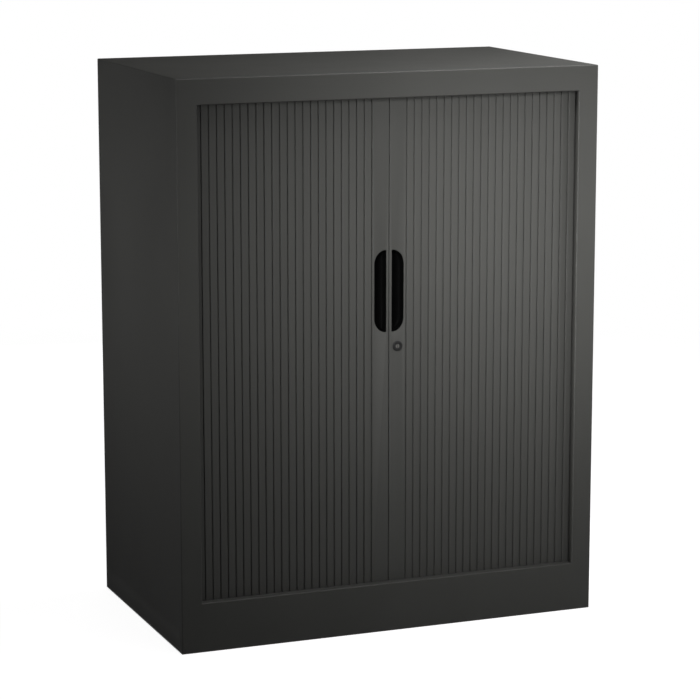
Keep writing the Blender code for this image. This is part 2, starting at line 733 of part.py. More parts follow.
def leading_stile(side, finish):
    """Hollow end bar of a door, thinned at its ends to run in the tracks."""
    word = side_name(side)
    outline = mirrored(leading_outline(), side)
    bar = outline_solid("leading_stile_" + word, outline, SLAT_BOTTOM, SLAT_TOP, "Z", finish=finish)
    left = DOOR_GAP / 2 + LEADING_STILE_WALL
    right = FIRST_PIVOT_X - SOCKET_RADIUS - LEADING_STILE_WALL
    front = FACE_Y + LEADING_STILE_WALL
    rear = LEADING_BACK_Y - LEADING_STILE_WALL
    hollow = mirrored([(left, front), (right, front), (right, rear), (left, rear)], side)
    bottom = SLAT_BOTTOM - CUT_OVERRUN
    top = SLAT_TOP + CUT_OVERRUN
    cut(bar, outline_solid("stile_hollow_" + word, hollow, bottom, top, "Z", CUTTERS))
    near = side * (DOOR_GAP / 2 - CUT_OVERRUN)
    far = side * (FIRST_PIVOT_X + BEAD_SETBACK)
    notch_front = FACE_Y + SLAT_DEPTH
    notch_rear = LEADING_BACK_Y + CUT_OVERRUN
    ends = (
        ("foot", bottom, PLINTH_HEIGHT + END_NOTCH_CLEARANCE),
        ("head", OPENING_TOP - END_NOTCH_CLEARANCE, top),
    )
    for end, low, high in ends:
        corner_low = (min(near, far), notch_front, low)
        corner_high = (max(near, far), notch_rear, high)
        cut(bar, box(f"stile_{end}_{word}", corner_low, corner_high, CUTTERS))
    return bar


def cup_outline(side, margin):
    """Front view of the handle cup as a D, grown by a margin; straight side to the door gap."""
    inner = DOOR_GAP / 2 + CUP_INSET - margin
    outer = DOOR_GAP / 2 + CUP_INSET + CUP_WIDTH + margin
    low = CUP_CENTRE_HEIGHT - CUP_HEIGHT / 2 - margin
    high = CUP_CENTRE_HEIGHT + CUP_HEIGHT / 2 + margin
    big = CUP_OUTER_RADIUS + margin
    small = max(CUP_INNER_RADIUS + margin, CUP_WALL / 2)
    quarter = math.pi / 2
    points = arc((outer - big, low + big), big, -quarter, 0, CUP_CORNER_STEPS)
    points += arc((outer - big, high - big), big, 0, quarter, CUP_CORNER_STEPS)
    points += arc((inner + small, high - small), small, quarter, 2 * quarter, CUP_SMALL_STEPS)
    points += arc((inner + small, low + small), small, 2 * quarter, 3 * quarter, CUP_SMALL_STEPS)
    return [(z, side * x) for x, z in points]


def handle_cup(side, bar, finish):
    """Finger cup set through the leading stile, with its hole in the stile."""
    word = side_name(side)
    front = FACE_Y - CUT_OVERRUN
    rear = LEADING_BACK_Y + CUT_OVERRUN
    floor = CUP_BACK_Y - CUP_WALL
    cut(bar, outline_solid("cup_hole_" + word, cup_outline(side, GAP), front, rear, "Y", CUTTERS))
    outline = cup_outline(side, 0)
    cup = outline_solid("handle_cup_" + word, outline, FACE_Y, CUP_BACK_Y, "Y", finish=finish)
    recess = cup_outline(side, -CUP_WALL)
    return cut(cup, outline_solid("cup_recess_" + word, recess, front, floor, "Y", CUTTERS))


def lock_turned(name, profile, closed, finish):
    """Turned lock piece, its local Z towards the front, on the lock's axis at the curtain face."""
    piece = turned(name, profile, closed, finish)
    piece.location = (LOCK_OFFSET, FACE_Y, LOCK_HEIGHT)
    piece.rotation_euler = (math.pi / 2, 0, 0)
    return piece


def lock_housing(bar, finish):
    """Round housing through the right leading stile, with its hole in the stile."""
    hole_centre = (LOCK_HEIGHT, LOCK_OFFSET)
    front = FACE_Y - CUT_OVERRUN
    rear = LEADING_BACK_Y + CUT_OVERRUN
    cut(bar, rod("lock_hole", LOCK_BARREL_RADIUS + GAP, front, rear, hole_centre, "Y", CUTTERS))
    bore = PLUG_RADIUS + GAP
    tail = -(LEADING_STILE_DEPTH + LOCK_BARREL_TAIL)
    profile = [
        (bore, LOCK_FLANGE_PROUD),
        (LOCK_FLANGE_RADIUS - LOCK_FLANGE_PROUD / 2, LOCK_FLANGE_PROUD),
        (LOCK_FLANGE_RADIUS, LOCK_FLANGE_PROUD / 2),
        (LOCK_FLANGE_RADIUS, GAP),
        (LOCK_BARREL_RADIUS, GAP),
        (LOCK_BARREL_RADIUS, tail),
        (bore, tail),
    ]
    return lock_turned("lock_housing", profile, True, finish)


def lock_plug(finish):
    """Plug that the key turns, with its keyway."""
    front = LOCK_FLANGE_PROUD - PLUG_RECESS
    rear = -(LEADING_STILE_DEPTH + PLUG_TAIL)
    profile = [(0, front), (PLUG_RADIUS, front), (PLUG_RADIUS, rear), (0, rear)]
    plug = lock_turned("lock_plug", profile, False, finish)
    half_width = KEYWAY_WIDTH / 2
    half_height = KEYWAY_HEIGHT / 2
    low = (LOCK_OFFSET - half_width, FACE_Y - front - CUT_OVERRUN, LOCK_HEIGHT - half_height)
    high = (LOCK_OFFSET + half_width, FACE_Y - front + KEYWAY_DEPTH, LOCK_HEIGHT + half_height)
    return cut(plug, box("keyway", low, high, CUTTERS))


def lock_hook(finish):
    """Hooked arm on the plug, hanging down when unlocked, its tooth towards the left door."""
    half = HOOK_ARM_WIDTH / 2
    lean = math.asin(half / HOOK_HUB_RADIUS)
    tip = HOOK_REACH + HOOK_TOOTH_WIDTH
    hub = arc((0, 0), HOOK_HUB_RADIUS, -math.pi / 2 + lean, math.pi * 3 / 2 - lean, HOOK_HUB_STEPS)
    points = hub + [
        (-half, -HOOK_REACH),
        (-half - HOOK_TOOTH_HEIGHT, -HOOK_REACH),
        (-half - HOOK_TOOTH_HEIGHT, -tip),
        (half, -tip),
    ]
    outline = [(LOCK_HEIGHT + z, LOCK_OFFSET + x) for x, z in points]
    back = HOOK_FRONT_Y + HOOK_THICKNESS
    return outline_solid("lock_hook", outline, HOOK_FRONT_Y, back, "Y", finish=finish)


def keeper(finish):
    """Bent plate on the back of the left leading stile, whose tab the hook catches."""
    tab_x = LOCK_OFFSET - HOOK_REACH + KEEPER_SLACK
    plate_y = LEADING_BACK_Y + GAP
    path = [
        (tab_x - KEEPER_PLATE_WIDTH, plate_y),
        (tab_x + KEEPER_THICKNESS, plate_y),
        (tab_x + KEEPER_THICKNESS, plate_y + KEEPER_THICKNESS + KEEPER_TAB_DEPTH),
    ]
    low = LOCK_HEIGHT + HOOK_ARM_WIDTH / 2 + KEEPER_CLEARANCE
    high = low + KEEPER_HEIGHT
    bend = KEEPER_THICKNESS + GAP
    return folded_sheet("lock_keeper", path, low, high, "Z", finish, KEEPER_THICKNESS, bend)


def door(side, slats, black, nickel, zinc):
    """Leading stile of one door with what is fixed to it."""
    bar = leading_stile(side, slats)
    cup = handle_cup(side, bar, black)
    slide = joint_empty(f"slide_{side_name(side)}_door", (side * DOOR_GAP / 2, FACE_Y, SLAT_BOTTOM))
    carry(slide, bar, cup)
    if side < 0:
        carry(slide, keeper(zinc))
        return
    carry(slide, lock_housing(bar, black))
    turn = joint_empty("turn_lock", (LOCK_OFFSET, FACE_Y, LOCK_HEIGHT))
    carry(turn, lock_plug(nickel), lock_hook(zinc))


def clip_height(level):
    """Height of the slot that carries a shelf at one of the shelf levels."""
    wanted = SHELF_HEIGHT_SHARES[level] * (OPENING_TOP - PLINTH_HEIGHT) + PLINTH_HEIGHT
    return FIRST_SLOT_Z + round((wanted - FIRST_SLOT_Z) / SLOT_PITCH) * SLOT_PITCH


def shelf(level, name, finish):
    """Adjustable shelf: sheet with its front and rear edges folded down and in."""
    bottom = clip_height(level) - CLIP_LEG + GAP
    top = bottom + SHELF_EDGE_HEIGHT
    path = [
        (SHELF_REAR_Y - SHELF_LIP, bottom),
        (SHELF_REAR_Y, bottom),
        (SHELF_REAR_Y, top),
        (SHELF_FRONT_Y, top),
        (SHELF_FRONT_Y, bottom),
        (SHELF_FRONT_Y + SHELF_LIP, bottom),
    ]
    reach = CLIP_FACE_X - GAP
    return folded_sheet(name, path, -reach, reach, "X", finish)


def shelf_clip(level, side, column, name, finish):
    """Clip hooked through a liner slot, its leg down the liner and its ledge under the shelf."""
    slot = clip_height(level) + CLIP_THICKNESS / 2
    hook_x = LINER_FACE_X + SHEET + GAP + CLIP_THICKNESS
    ledge = clip_height(level) - CLIP_LEG
    path = [
        (slot + CLIP_HOOK, side * hook_x),
        (slot - CLIP_THICKNESS, side * hook_x),
        (slot - CLIP_THICKNESS, side * (CLIP_FACE_X + CLIP_THICKNESS)),
        (ledge - CLIP_THICKNESS, side * (CLIP_FACE_X + CLIP_THICKNESS)),
        (ledge - CLIP_THICKNESS, side * (CLIP_FACE_X - CLIP_LEDGE)),
    ]
    outline = clip_outline(path, side)
    front = SLOT_COLUMNS[column] - CLIP_WIDTH / 2
    return outline_solid(name, outline, front, front + CLIP_WIDTH, "Y", finish=finish)


def clip_outline(path, side):
    """Closed outline of the bent clip strip, its thickness laid inside the given path."""
    (top, hook), (low, _), (_, leg), (ledge, _), (_, tip) = path
    t = CLIP_THICKNESS
    return [
        (top, hook),
        (low, hook),
        (low, leg),
        (ledge, leg),
        (ledge, tip),
        (ledge + t, tip),
        (ledge + t, leg - side * t),
        (low + t, leg - side * t),
        (low + t, hook - side * t),
        (top, hook - side * t),
    ]


def shelves(steel, zinc):
    """Two shelves, each on four clips."""
    for level, word in enumerate(("lower", "upper")):
        shelf(level, "shelf_" + word, steel)
        for side in (1, -1):
            for column, end in enumerate(("front", "rear")):
                shelf_clip(level, side, column, f"shelf_clip_{word}_{side_name(side)}_{end}", zinc)


def base_runner(side, finish):
    """Channel under the pan, front to back, that the two feet of one side screw into."""
    centre = side * FOOT_X
    half = RUNNER_WIDTH / 2
    top = PAN_TOP - SHEET - GAP
    path = [
        (top, centre + half),
        (RUNNER_HEIGHT_ABOVE_GROUND, centre + half),
        (RUNNER_HEIGHT_ABOVE_GROUND, centre - half),
        (top, centre - half),
    ]
    low = PAN_FRONT_Y + SHEET + GAP
    high = INNER_REAR_Y - SHEET - GAP
    name = "base_runner_" + side_name(side)
    runner = folded_sheet(name, path, low, high, "Y", finish, RUNNER_SHEET, RUNNER_SHEET + BEND_RADIUS)
    bottom = RUNNER_HEIGHT_ABOVE_GROUND - CUT_OVERRUN
    hole_top = RUNNER_HEIGHT_ABOVE_GROUND + RUNNER_SHEET + CUT_OVERRUN
    bore = FOOT_STEM_RADIUS + GAP
    for end in (-1, 1):
        hole_name = f"foot_hole_{side_name(side)}_{end_name(end)}"
        cut(runner, rod(hole_name, bore, bottom, hole_top, (centre, end * FOOT_Y), "Z", CUTTERS))
    return runner


def levelling_foot(side, end, finish):
    """Round pad with a collar up to the runner and a stem through it, at its upper stop."""
    collar_top = RUNNER_HEIGHT_ABOVE_GROUND - GAP
    profile = [
        (0, FOOT_STEM_LENGTH),
        (FOOT_STEM_RADIUS, FOOT_STEM_LENGTH),
        (FOOT_STEM_RADIUS, collar_top),
        (FOOT_COLLAR_RADIUS, collar_top),
        (FOOT_NECK_RADIUS, FOOT_PAD_HEIGHT),
        (FOOT_PAD_RADIUS - FOOT_PAD_CHAMFER, FOOT_PAD_HEIGHT),
        (FOOT_PAD_RADIUS, FOOT_PAD_HEIGHT - FOOT_PAD_CHAMFER),
        (FOOT_PAD_RADIUS, FOOT_PAD_CHAMFER),
        (FOOT_PAD_RADIUS - FOOT_PAD_CHAMFER, 0),
        (0, 0),
    ]
    foot = turned(f"foot_{side_name(side)}_{end_name(end)}", profile, False, finish)
    foot.location = (side * FOOT_X, end * FOOT_Y, 0)
    return foot


def build():
    """The whole cabinet."""
    steel = graphite_coat()
    slats = graphite_plastic()
    black = black_plastic()
    rail = track_plastic()
    zinc = zinc_plate()
    nickel = lock_nickel()
    top_panel(steel)
    ceiling_pan(steel)
    plinth(steel)
    base_pan(steel)
    inner_floor(steel)
    back_panel(steel)
    for side in (1, -1):
        side_panel(side, steel)
        liner(side, steel)
        curtain(side, slats)
        door(side, slats, black, nickel, zinc)
        base_runner(side, zinc)
        for level in ("bottom", "top"):
            track(side, level, rail)
        for end in (-1, 1):
            levelling_foot(side, end, black)
    shelves(steel, zinc)


build()
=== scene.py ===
"""Looks of a graphite steel cabinet with two tambour doors that slide round its front corners.

Metres, +Z up, the front towards -Y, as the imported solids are. Pieces for the right-hand side are
worked out, and the left-hand ones are the same surfaces with the sign of X changed.
"""

import logging
import math
from collections.abc import Iterable
from dataclasses import Field, dataclass, field
from enum import Enum, IntEnum

import bmesh
import bpy
import numpy as np
from bpy.types import ID, Material, Mesh, NodeSocket, NodeTree, Object
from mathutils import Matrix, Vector


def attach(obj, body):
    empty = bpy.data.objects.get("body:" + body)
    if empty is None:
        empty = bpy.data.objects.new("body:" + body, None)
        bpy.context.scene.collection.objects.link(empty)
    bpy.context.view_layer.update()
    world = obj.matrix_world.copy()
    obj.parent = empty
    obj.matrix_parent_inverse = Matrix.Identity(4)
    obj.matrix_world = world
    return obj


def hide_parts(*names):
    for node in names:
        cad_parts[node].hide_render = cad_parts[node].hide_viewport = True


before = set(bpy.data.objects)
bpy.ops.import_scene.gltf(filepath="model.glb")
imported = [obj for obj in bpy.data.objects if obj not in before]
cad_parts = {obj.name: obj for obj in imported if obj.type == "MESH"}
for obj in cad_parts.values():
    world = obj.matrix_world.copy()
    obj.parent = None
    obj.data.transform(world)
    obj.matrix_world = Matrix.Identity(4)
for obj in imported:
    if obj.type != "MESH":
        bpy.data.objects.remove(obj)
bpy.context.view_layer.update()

LOG = logging.getLogger("tambour_door_cabinet")
WELD = 0.000002
SHARP_ANGLE = math.radians(32)
QUARTER = math.pi / 2
TURN = 2 * math.pi
MIDDLE = 0.5
MILLIMETRES = 1000
SLAT_PITCH = 0.0144
CURTAIN_FACE = -0.217
MIX_FACTOR, MIX_FIRST, MIX_SECOND = 0, 6, 7
MIX_COLOUR = 2

Colour = tuple[float, float, float]
Point = tuple[float, float, float]


class Side(Enum):
    """The two doors and what belongs to them."""

    LEFT = -1
    RIGHT = 1

    @property
    def word(self) -> str:
        """The side as it stands in the names of pieces."""
        return self.name.lower()


class Slot(Enum):
    """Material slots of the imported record."""

    STEEL = "powder_coated_steel"
    SLATS = "slat_plastic"
    BLACK = "black_plastic"
    TRACK = "track_plastic"
    ZINC = "zinc_plated_steel"
    LOCK = "lock_nickel"


class Run(IntEnum):
    """Stretches of the shell's way round the doors; the upper corners belong to the sides."""

    SIDE = 0
    TOP = 1
    BOTTOM = 2


# Materials


class Wire:
    """A socket of a node tree; a sum or a product of wires adds the Math node that works it out."""

    def __init__(self, recipe: "Recipe", socket: NodeSocket) -> None:
        """Keeps the socket and the recipe whose tree it stands in."""
        self.recipe = recipe
        self.socket = socket

    def _math(self, operation: str, *values: "Wire | float") -> "Wire":
        """One Math node on these values."""
        return self.recipe.node("ShaderNodeMath", {"operation": operation}, dict(enumerate(values)))

    def __add__(self, other: "Wire | float") -> "Wire":
        """Sum."""
        return self._math("ADD", self, other)

    def __radd__(self, other: float) -> "Wire":
        """Sum with a number on the left."""
        return self._math("ADD", other, self)

    def __sub__(self, other: "Wire | float") -> "Wire":
        """Difference."""
        return self._math("SUBTRACT", self, other)

    def __rsub__(self, other: float) -> "Wire":
        """Difference from a number."""
        return self._math("SUBTRACT", other, self)

    def __mul__(self, other: "Wire | float") -> "Wire":
        """Product."""
        return self._math("MULTIPLY", self, other)

    def __rmul__(self, other: float) -> "Wire":
        """Product with a number on the left."""
        return self._math("MULTIPLY", other, self)

    def __truediv__(self, other: "Wire | float") -> "Wire":
        """Quotient."""
        return self._math("DIVIDE", self, other)

    def __rtruediv__(self, other: float) -> "Wire":
        """Quotient of a number."""
        return self._math("DIVIDE", other, self)

    def floored(self) -> "Wire":
        """Largest whole number that isn't above the value."""
        return self._math("FLOOR", self)

    def between(self, low: float, high: float) -> "Wire":
        """Share of the way from low to high, kept from 0 to 1."""
        inputs = {"Value": self, "From Min": low, "From Max": high}
        return self.recipe.node("ShaderNodeMapRange", {"clamp": True}, inputs)

    def swing(self, reach: float, middle: float = MIDDLE) -> "Wire":
        """Distance of the value from a middle, times a reach."""
        return (self - middle) * reach


class Recipe:
    """Nodes of one tree: a material's or the world's."""

    def __init__(self, tree: NodeTree) -> None:
        """Keeps the tree that the nodes go into."""
        self.tree = tree

    def put(self, socket: NodeSocket, value: "Wire | float | tuple") -> None:
        """Links a wire to a socket, or sets the socket to a plain value.

        Args:
            socket: Input socket of a node.
            value: What goes into it.
        """
        if isinstance(value, Wire):
            self.tree.links.new(value.socket, socket)
        else:
            socket.default_value = value

    def node(
        self, kind: str, settings: dict | None = None, inputs: dict | None = None, output: int | str = 0
    ) -> Wire:
        """Adds a node.

        Args:
            kind: Type of the node.
            settings: Its own settings, set before its sockets.
            inputs: Values or wires by the name or number of their socket.
            output: Name or number of the output that is used.

        Returns:
            Wire from that output.
        """
        made = self.tree.nodes.new(kind)
        for name, value in (settings or {}).items():
            setattr(made, name, value)
        for key, value in (inputs or {}).items():
            self.put(made.inputs[key], value)
        return Wire(self, made.outputs[output])

    def place(self, scale: Point = (1.0, 1.0, 1.0)) -> Wire:
        """Object coordinates, stretched by a Mapping node."""
        spot = self.node("ShaderNodeTexCoord", output="Object")
        return self.node("ShaderNodeMapping", inputs={"Vector": spot, "Scale": scale})

    def noise(self, spot: Wire, scale: float, detail: float = 2.0, rough: float = 0.5) -> Wire:
        """Noise from 0 to 1 at a scale in turns a metre."""
        inputs = {"Vector": spot, "Scale": scale, "Detail": detail, "Roughness": rough}
        return self.node("ShaderNodeTexNoise", inputs=inputs)

    def axis(self, spot: Wire, name: str) -> Wire:
        """One coordinate of a point."""
        return self.node("ShaderNodeSeparateXYZ", inputs={"Vector": spot}, output=name)

    def tint(self, share: Wire, low: Colour, high: Colour) -> Wire:
        """Colour between two, by a share from 0 to 1."""
        inputs = {MIX_FACTOR: share, MIX_FIRST: (*low, 1.0), MIX_SECOND: (*high, 1.0)}
        return self.node("ShaderNodeMix", {"data_type": "RGBA", "clamp_factor": True}, inputs, MIX_COLOUR)

    def bump(self, height: Wire, distance: float, strength: float) -> Wire:
        """Normal of a relief whose height runs from 0 to the distance."""
        inputs = {"Height": height, "Distance": distance, "Strength": strength}
        return self.node("ShaderNodeBump", inputs=inputs)

    def show(self, shader: Wire, output: str = "Material Output") -> None:
        """Links a shader to the tree's output node."""
        self.tree.links.new(shader.socket, self.tree.nodes[output].inputs["Surface"])


class Paint(Recipe):
    """Nodes of one material round its Principled shader."""

    def __init__(self, name: str) -> None:
        """Makes the material.

        Args:
            name: Its name.
        """
        self.material = bpy.data.materials.new(name)
        self.material.use_nodes = True
        super().__init__(self.material.node_tree)
        self.shader = self.tree.nodes["Principled BSDF"]

    def finish(self, **sockets: "Wire | float | tuple") -> Material:
        """Sets sockets of the shader and gives the material.

        Args:
            sockets: Values or wires by the name of their socket, with _ for each space.

        Returns:
            The material.
        """
        for name, value in sockets.items():
            self.put(self.shader.inputs[name.replace("_", " ")], value)
        return self.material


def shades(colour: Colour, spread: float) -> tuple[Colour, Colour]:
    """A darker and a lighter shade of a colour.

    Args:
        colour: Middle colour.
        spread: Share by which the two differ from it.

    Returns:
        The two shades.
    """
    low = tuple(channel * (1 - spread) for channel in colour)
    high = tuple(channel * (1 + spread) for channel in colour)
    return low, high


@dataclass(frozen=True)
class PowderCoat:
    """Baked powder coat on sheet steel: satin, with a fine orange peel and faint clouding."""

    name: str
    colour: Colour
    roughness: float = 0.46
    specular: float = 0.30
    clouding: float = 0.05
    cloud_scale: float = 7.0
    cloud_share: float = 1.4
    cloud_gloss: float = 0.10
    grain_scale: float = 1900.0
    grain_share: float = 1.0
    grain_gloss: float = 0.08
    peel_scale: float = 820.0
    peel_share: float = 0.8
    peel_depth: float = 0.00003
    peel_strength: float = 0.7

    def material(self) -> Material:
        """Works out the coat: clouds at 15 cm, grain at 0.5 mm and a peel of dimples at 1.2 mm.

        Returns:
            The coat's material.
        """
        recipe = Paint(self.name)
        spot = recipe.place()
        cloud = recipe.noise(spot, self.cloud_scale, detail=3.0)
        grain = recipe.noise(spot, self.grain_scale, rough=0.6)
        peel = recipe.noise(spot, self.peel_scale, detail=1.0)
        shade = MIDDLE + cloud.swing(self.cloud_share) + grain.swing(self.grain_share)
        relief = peel * self.peel_share + grain * (1 - self.peel_share)
        return recipe.finish(
            Base_Color=recipe.tint(shade, *shades(self.colour, self.clouding)),
            Roughness=self.roughness + cloud.swing(self.cloud_gloss) + grain.swing(self.grain_gloss),
            Normal=recipe.bump(relief, self.peel_depth, self.peel_strength),
            Specular_IOR_Level=self.specular,
        )


@dataclass(frozen=True)
class SlatPlastic:
    """Extruded slats: each slat a touch lighter or darker, with fine draw lines along its length."""

    name: str
    colour: Colour
    pitch: float = SLAT_PITCH
    roughness: float = 0.5
    specular: float = 0.30
    spread: float = 0.05
    own_share: float = 0.5
    line_scale: float = 1500.0
    line_stretch: float = 0.012
    line_share: float = 0.9
    line_gloss: float = 0.14
    line_relief: float = 0.6
    cloud_scale: float = 5.0
    cloud_share: float = 0.8
    grain_scale: float = 1400.0
    relief_depth: float = 0.00002
    relief_strength: float = 0.7

    def material(self) -> Material:
        """Works out the plastic: one shade for each pitch of X, and noise drawn out along Z.

        Returns:
            The slats' material.
        """
        recipe = Paint(self.name)
        spot = recipe.place()
        drawn = recipe.place((1.0, 1.0, self.line_stretch))
        lines = recipe.noise(drawn, self.line_scale, detail=3.0, rough=0.6)
        cloud = recipe.noise(spot, self.cloud_scale)
        grain = recipe.noise(spot, self.grain_scale, detail=1.0)
        number = (recipe.axis(spot, "X") / self.pitch).floored()
        own = recipe.node("ShaderNodeTexWhiteNoise", {"noise_dimensions": "1D"}, {"W": number}, "Value")
        shade = MIDDLE + own.swing(self.own_share) + lines.swing(self.line_share)
        relief = lines * self.line_relief + grain * (1 - self.line_relief)
        return recipe.finish(
            Base_Color=recipe.tint(
                shade + cloud.swing(self.cloud_share), *shades(self.colour, self.spread)
            ),
            Roughness=self.roughness + lines.swing(self.line_gloss),
            Normal=recipe.bump(relief, self.relief_depth, self.relief_strength),
            Specular_IOR_Level=self.specular,
        )


@dataclass(frozen=True)
class MouldedPlastic:
    """Moulded plastic with a fine spark-eroded grain."""

    name: str
    colour: Colour
    roughness: float = 0.5
    specular: float = 0.3
    clouding: float = 0.12
    cloud_scale: float = 30.0
    grain_scale: float = 1400.0
    grain_middle: float = 0.3
    grain_gloss: float = 0.12
    grain_depth: float = 0.00005
    grain_strength: float = 0.5

    def material(self) -> Material:
        """Works out the plastic: cells of 0.7 mm for the grain and slow clouds for the shade.

        Returns:
            The plastic's material.
        """
        recipe = Paint(self.name)
        spot = recipe.place()
        inputs = {"Vector": spot, "Scale": self.grain_scale}
        cells = recipe.node("ShaderNodeTexVoronoi", {"feature": "SMOOTH_F1"}, inputs)
        cloud = recipe.noise(spot, self.cloud_scale)
        return recipe.finish(
            Base_Color=recipe.tint(cloud, *shades(self.colour, self.clouding)),
            Roughness=self.roughness + cells.swing(self.grain_gloss, self.grain_middle),
            Normal=recipe.bump(cells, self.grain_depth, self.grain_strength),
            Specular_IOR_Level=self.specular,
        )


@dataclass(frozen=True)
class PlatedMetal:
    """Plated metal: zinc with its crystal patches, or nickel with fine turning marks."""

    name: str
    colour: Colour
    warm: Colour
    roughness: float
    patch: float
    brushed: Point = (1.0, 1.0, 1.0)
    crystal_share: float = 0.7
    crystal_gloss: float = 0.10
    line_scale: float = 2600.0
    line_gloss: float = 0.16
    line_depth: float = 0.00001
    line_strength: float = 0.5

    def material(self) -> Material:
        """Works out the plate: crystal cells tint it and change its gloss, and fine lines cross it.

        Returns:
            The plate's material.
        """
        recipe = Paint(self.name)
        inputs = {"Vector": recipe.place(), "Scale": 1 / self.patch}
        cells = recipe.node("ShaderNodeTexVoronoi", {"feature": "F1"}, inputs, "Color")
        crystal = recipe.axis(cells, "X")
        lines = recipe.noise(recipe.place(self.brushed), self.line_scale, rough=0.6)
        share = crystal * self.crystal_share + lines * (1 - self.crystal_share)
        return recipe.finish(
            Base_Color=recipe.tint(share, self.colour, self.warm),
            Roughness=self.roughness + crystal.swing(self.crystal_gloss) + lines.swing(self.line_gloss),
            Normal=recipe.bump(lines, self.line_depth, self.line_strength),
            Metallic=1.0,
        )


def made(finish: PowderCoat | SlatPlastic | MouldedPlastic | PlatedMetal) -> Field:
    """Dataclass field that holds a finish's material, made when the finishes are."""
    return field(default_factory=finish.material)


@dataclass
class Finishes:
    """All the finishes of the cabinet, each made once."""

    coat: Material = made(PowderCoat("graphite_powder_coat", (0.070, 0.070, 0.0655)))
    slats: Material = made(SlatPlastic("graphite_slat_plastic", (0.0726, 0.0726, 0.0682)))
    black: Material = made(MouldedPlastic("black_plastic", (0.012, 0.012, 0.012), 0.45))
    # The cup is black plastic, and its colour is darkened below the other black plastic as painted shade of
    # the deep finger recess
    cup: Material = made(MouldedPlastic("black_cup_plastic", (0.002, 0.002, 0.002), 0.6, 0.03))
    track: Material = made(MouldedPlastic("dark_track_plastic", (0.028, 0.028, 0.030), 0.42))
    zinc: Material = made(
        PlatedMetal("bright_zinc", (0.50, 0.52, 0.55), (0.60, 0.59, 0.55), 0.34, 0.006)
    )
    nickel: Material = made(
        PlatedMetal("lock_nickel", (0.23, 0.225, 0.21), (0.32, 0.315, 0.30), 0.36, 0.0012, (1.0, 1.0, 6.0))
    )


# Surfaces


def arc(centre: tuple[float, float], radius: float, start: float, end: float, steps: int) -> np.ndarray:
    """Points of an arc: centre + radius (cos a, sin a) for angles a in even steps from start to end."""
    angles = np.linspace(start, end, steps + 1)
    return np.array(centre) + radius * np.column_stack([np.cos(angles), np.sin(angles)])


def turned(profile: np.ndarray, steps: int, centre: Iterable[float], across: np.ndarray) -> np.ndarray:
    """Grid of a turned surface: centre + radius (cos a, sin a) + height along the axis.

    Args:
        profile: Rows of radius and height.
        steps: Columns round the turn.
        centre: Point of the axis at height zero.
        across: Matrix whose rows are the two directions across the axis and the axis itself.

    Returns:
        Grid of rows of the profile and columns of the turn.
    """
    angles = np.linspace(0, TURN, steps, endpoint=False)
    radius, height = profile[:, :1], profile[:, 1:]
    level = np.broadcast_to(height, (len(profile), steps))
    local = np.stack([radius * np.cos(angles), radius * np.sin(angles), level], axis=-1)
    return np.array(list(centre)) + local @ across


def set_at(flat: np.ndarray, y: float) -> np.ndarray:
    """Points of X and Z set at one Y."""
    return np.insert(flat, 1, y, axis=1)


def table(*columns: np.ndarray | float) -> np.ndarray:
    """Rows of numbers from columns; a constant stands in every row."""
    return np.stack(np.broadcast_arrays(*columns), axis=-1).reshape(-1, len(columns)).astype(float)


UPRIGHT = np.eye(3)
FORWARD = np.array([[1.0, 0.0, 0.0], [0.0, 0.0, 1.0], [0.0, -1.0, 0.0]])


@dataclass
class Skin:
    """Points and faces of one piece, gathered surface by surface."""

    points: list[np.ndarray] = field(default_factory=list)
    faces: list[list[int]] = field(default_factory=list)

    @property
    def count(self) -> int:
        """Number of points so far."""
        return sum(len(block) for block in self.points)

    def grid(
        self,
        spots: np.ndarray,
        loop_rows: bool = False,
        loop_columns: bool = False,
        keep: np.ndarray | None = None,
    ) -> "Skin":
        """Adds a surface: the quad of row i and column j joins its four grid neighbours.

        Args:
            spots: Array of rows, columns and 3 coordinates.
            loop_rows: Whether the last row joins the first.
            loop_columns: Whether the last column joins the first.
            keep: Which quads are kept, by row and column.

        Returns:
            The skin itself.
        """
        rows, columns = spots.shape[:2]
        numbers = self.count + np.arange(rows * columns).reshape(rows, columns)
        if loop_rows:
            numbers = np.vstack([numbers, numbers[:1]])
        if loop_columns:
            numbers = np.hstack([numbers, numbers[:, :1]])
        quads = np.stack([numbers[:-1, :-1], numbers[:-1, 1:], numbers[1:, 1:], numbers[1:, :-1]], axis=-1)
        chosen = quads.reshape(-1, 4) if keep is None else quads[keep]
        self.faces += chosen.tolist()
        self.points.append(spots.reshape(-1, 3))
        return self

    def cap(self, ring: np.ndarray) -> "Skin":
        """Closes a flat ring with one face.

        Args:
            ring: Its points in order.

        Returns:
            The skin itself.
        """
        self.faces.append(list(range(self.count, self.count + len(ring))))
        self.points.append(ring)
        return self

    def tube(self, rings: np.ndarray) -> "Skin":
        """Adds a closed tube: rings joined one after another, with a face on the first and the last."""
        return self.grid(rings, loop_columns=True).cap(rings[0]).cap(rings[-1])

    def prism(self, outline: np.ndarray, low: float, high: float) -> "Skin":
        """Adds an outline in the ground plane carried from one height to another, with both ends."""
        return self.tube(np.stack([np.insert(outline, 2, level, axis=1) for level in (low, high)]))

    def mesh(self, name: str, side: Side = Side.RIGHT) -> Mesh:
        """Makes the mesh: seams are welded, and its faces are turned outwards.

        Args:
            name: Name of the mesh.
            side: LEFT changes the sign of X.

        Returns:
            The mesh, smooth over its round stretches and sharp over its corners.
        """
        spots = np.concatenate(self.points) * np.array([side.value, 1, 1])
        mesh = bpy.data.meshes.new(name)
        mesh.from_pydata(spots.tolist(), [], self.faces)
        builder = bmesh.new()
        builder.from_mesh(mesh)
        bmesh.ops.remove_doubles(builder, verts=builder.verts, dist=WELD)
        bmesh.ops.dissolve_degenerate(builder, dist=WELD, edges=builder.edges)
        bmesh.ops.recalc_face_normals(builder, faces=builder.faces)
        builder.to_mesh(mesh)
        builder.free()
        turned_outwards(mesh)
        mesh.shade_smooth()
        mesh.set_sharp_from_angle(angle=SHARP_ANGLE)
        return mesh


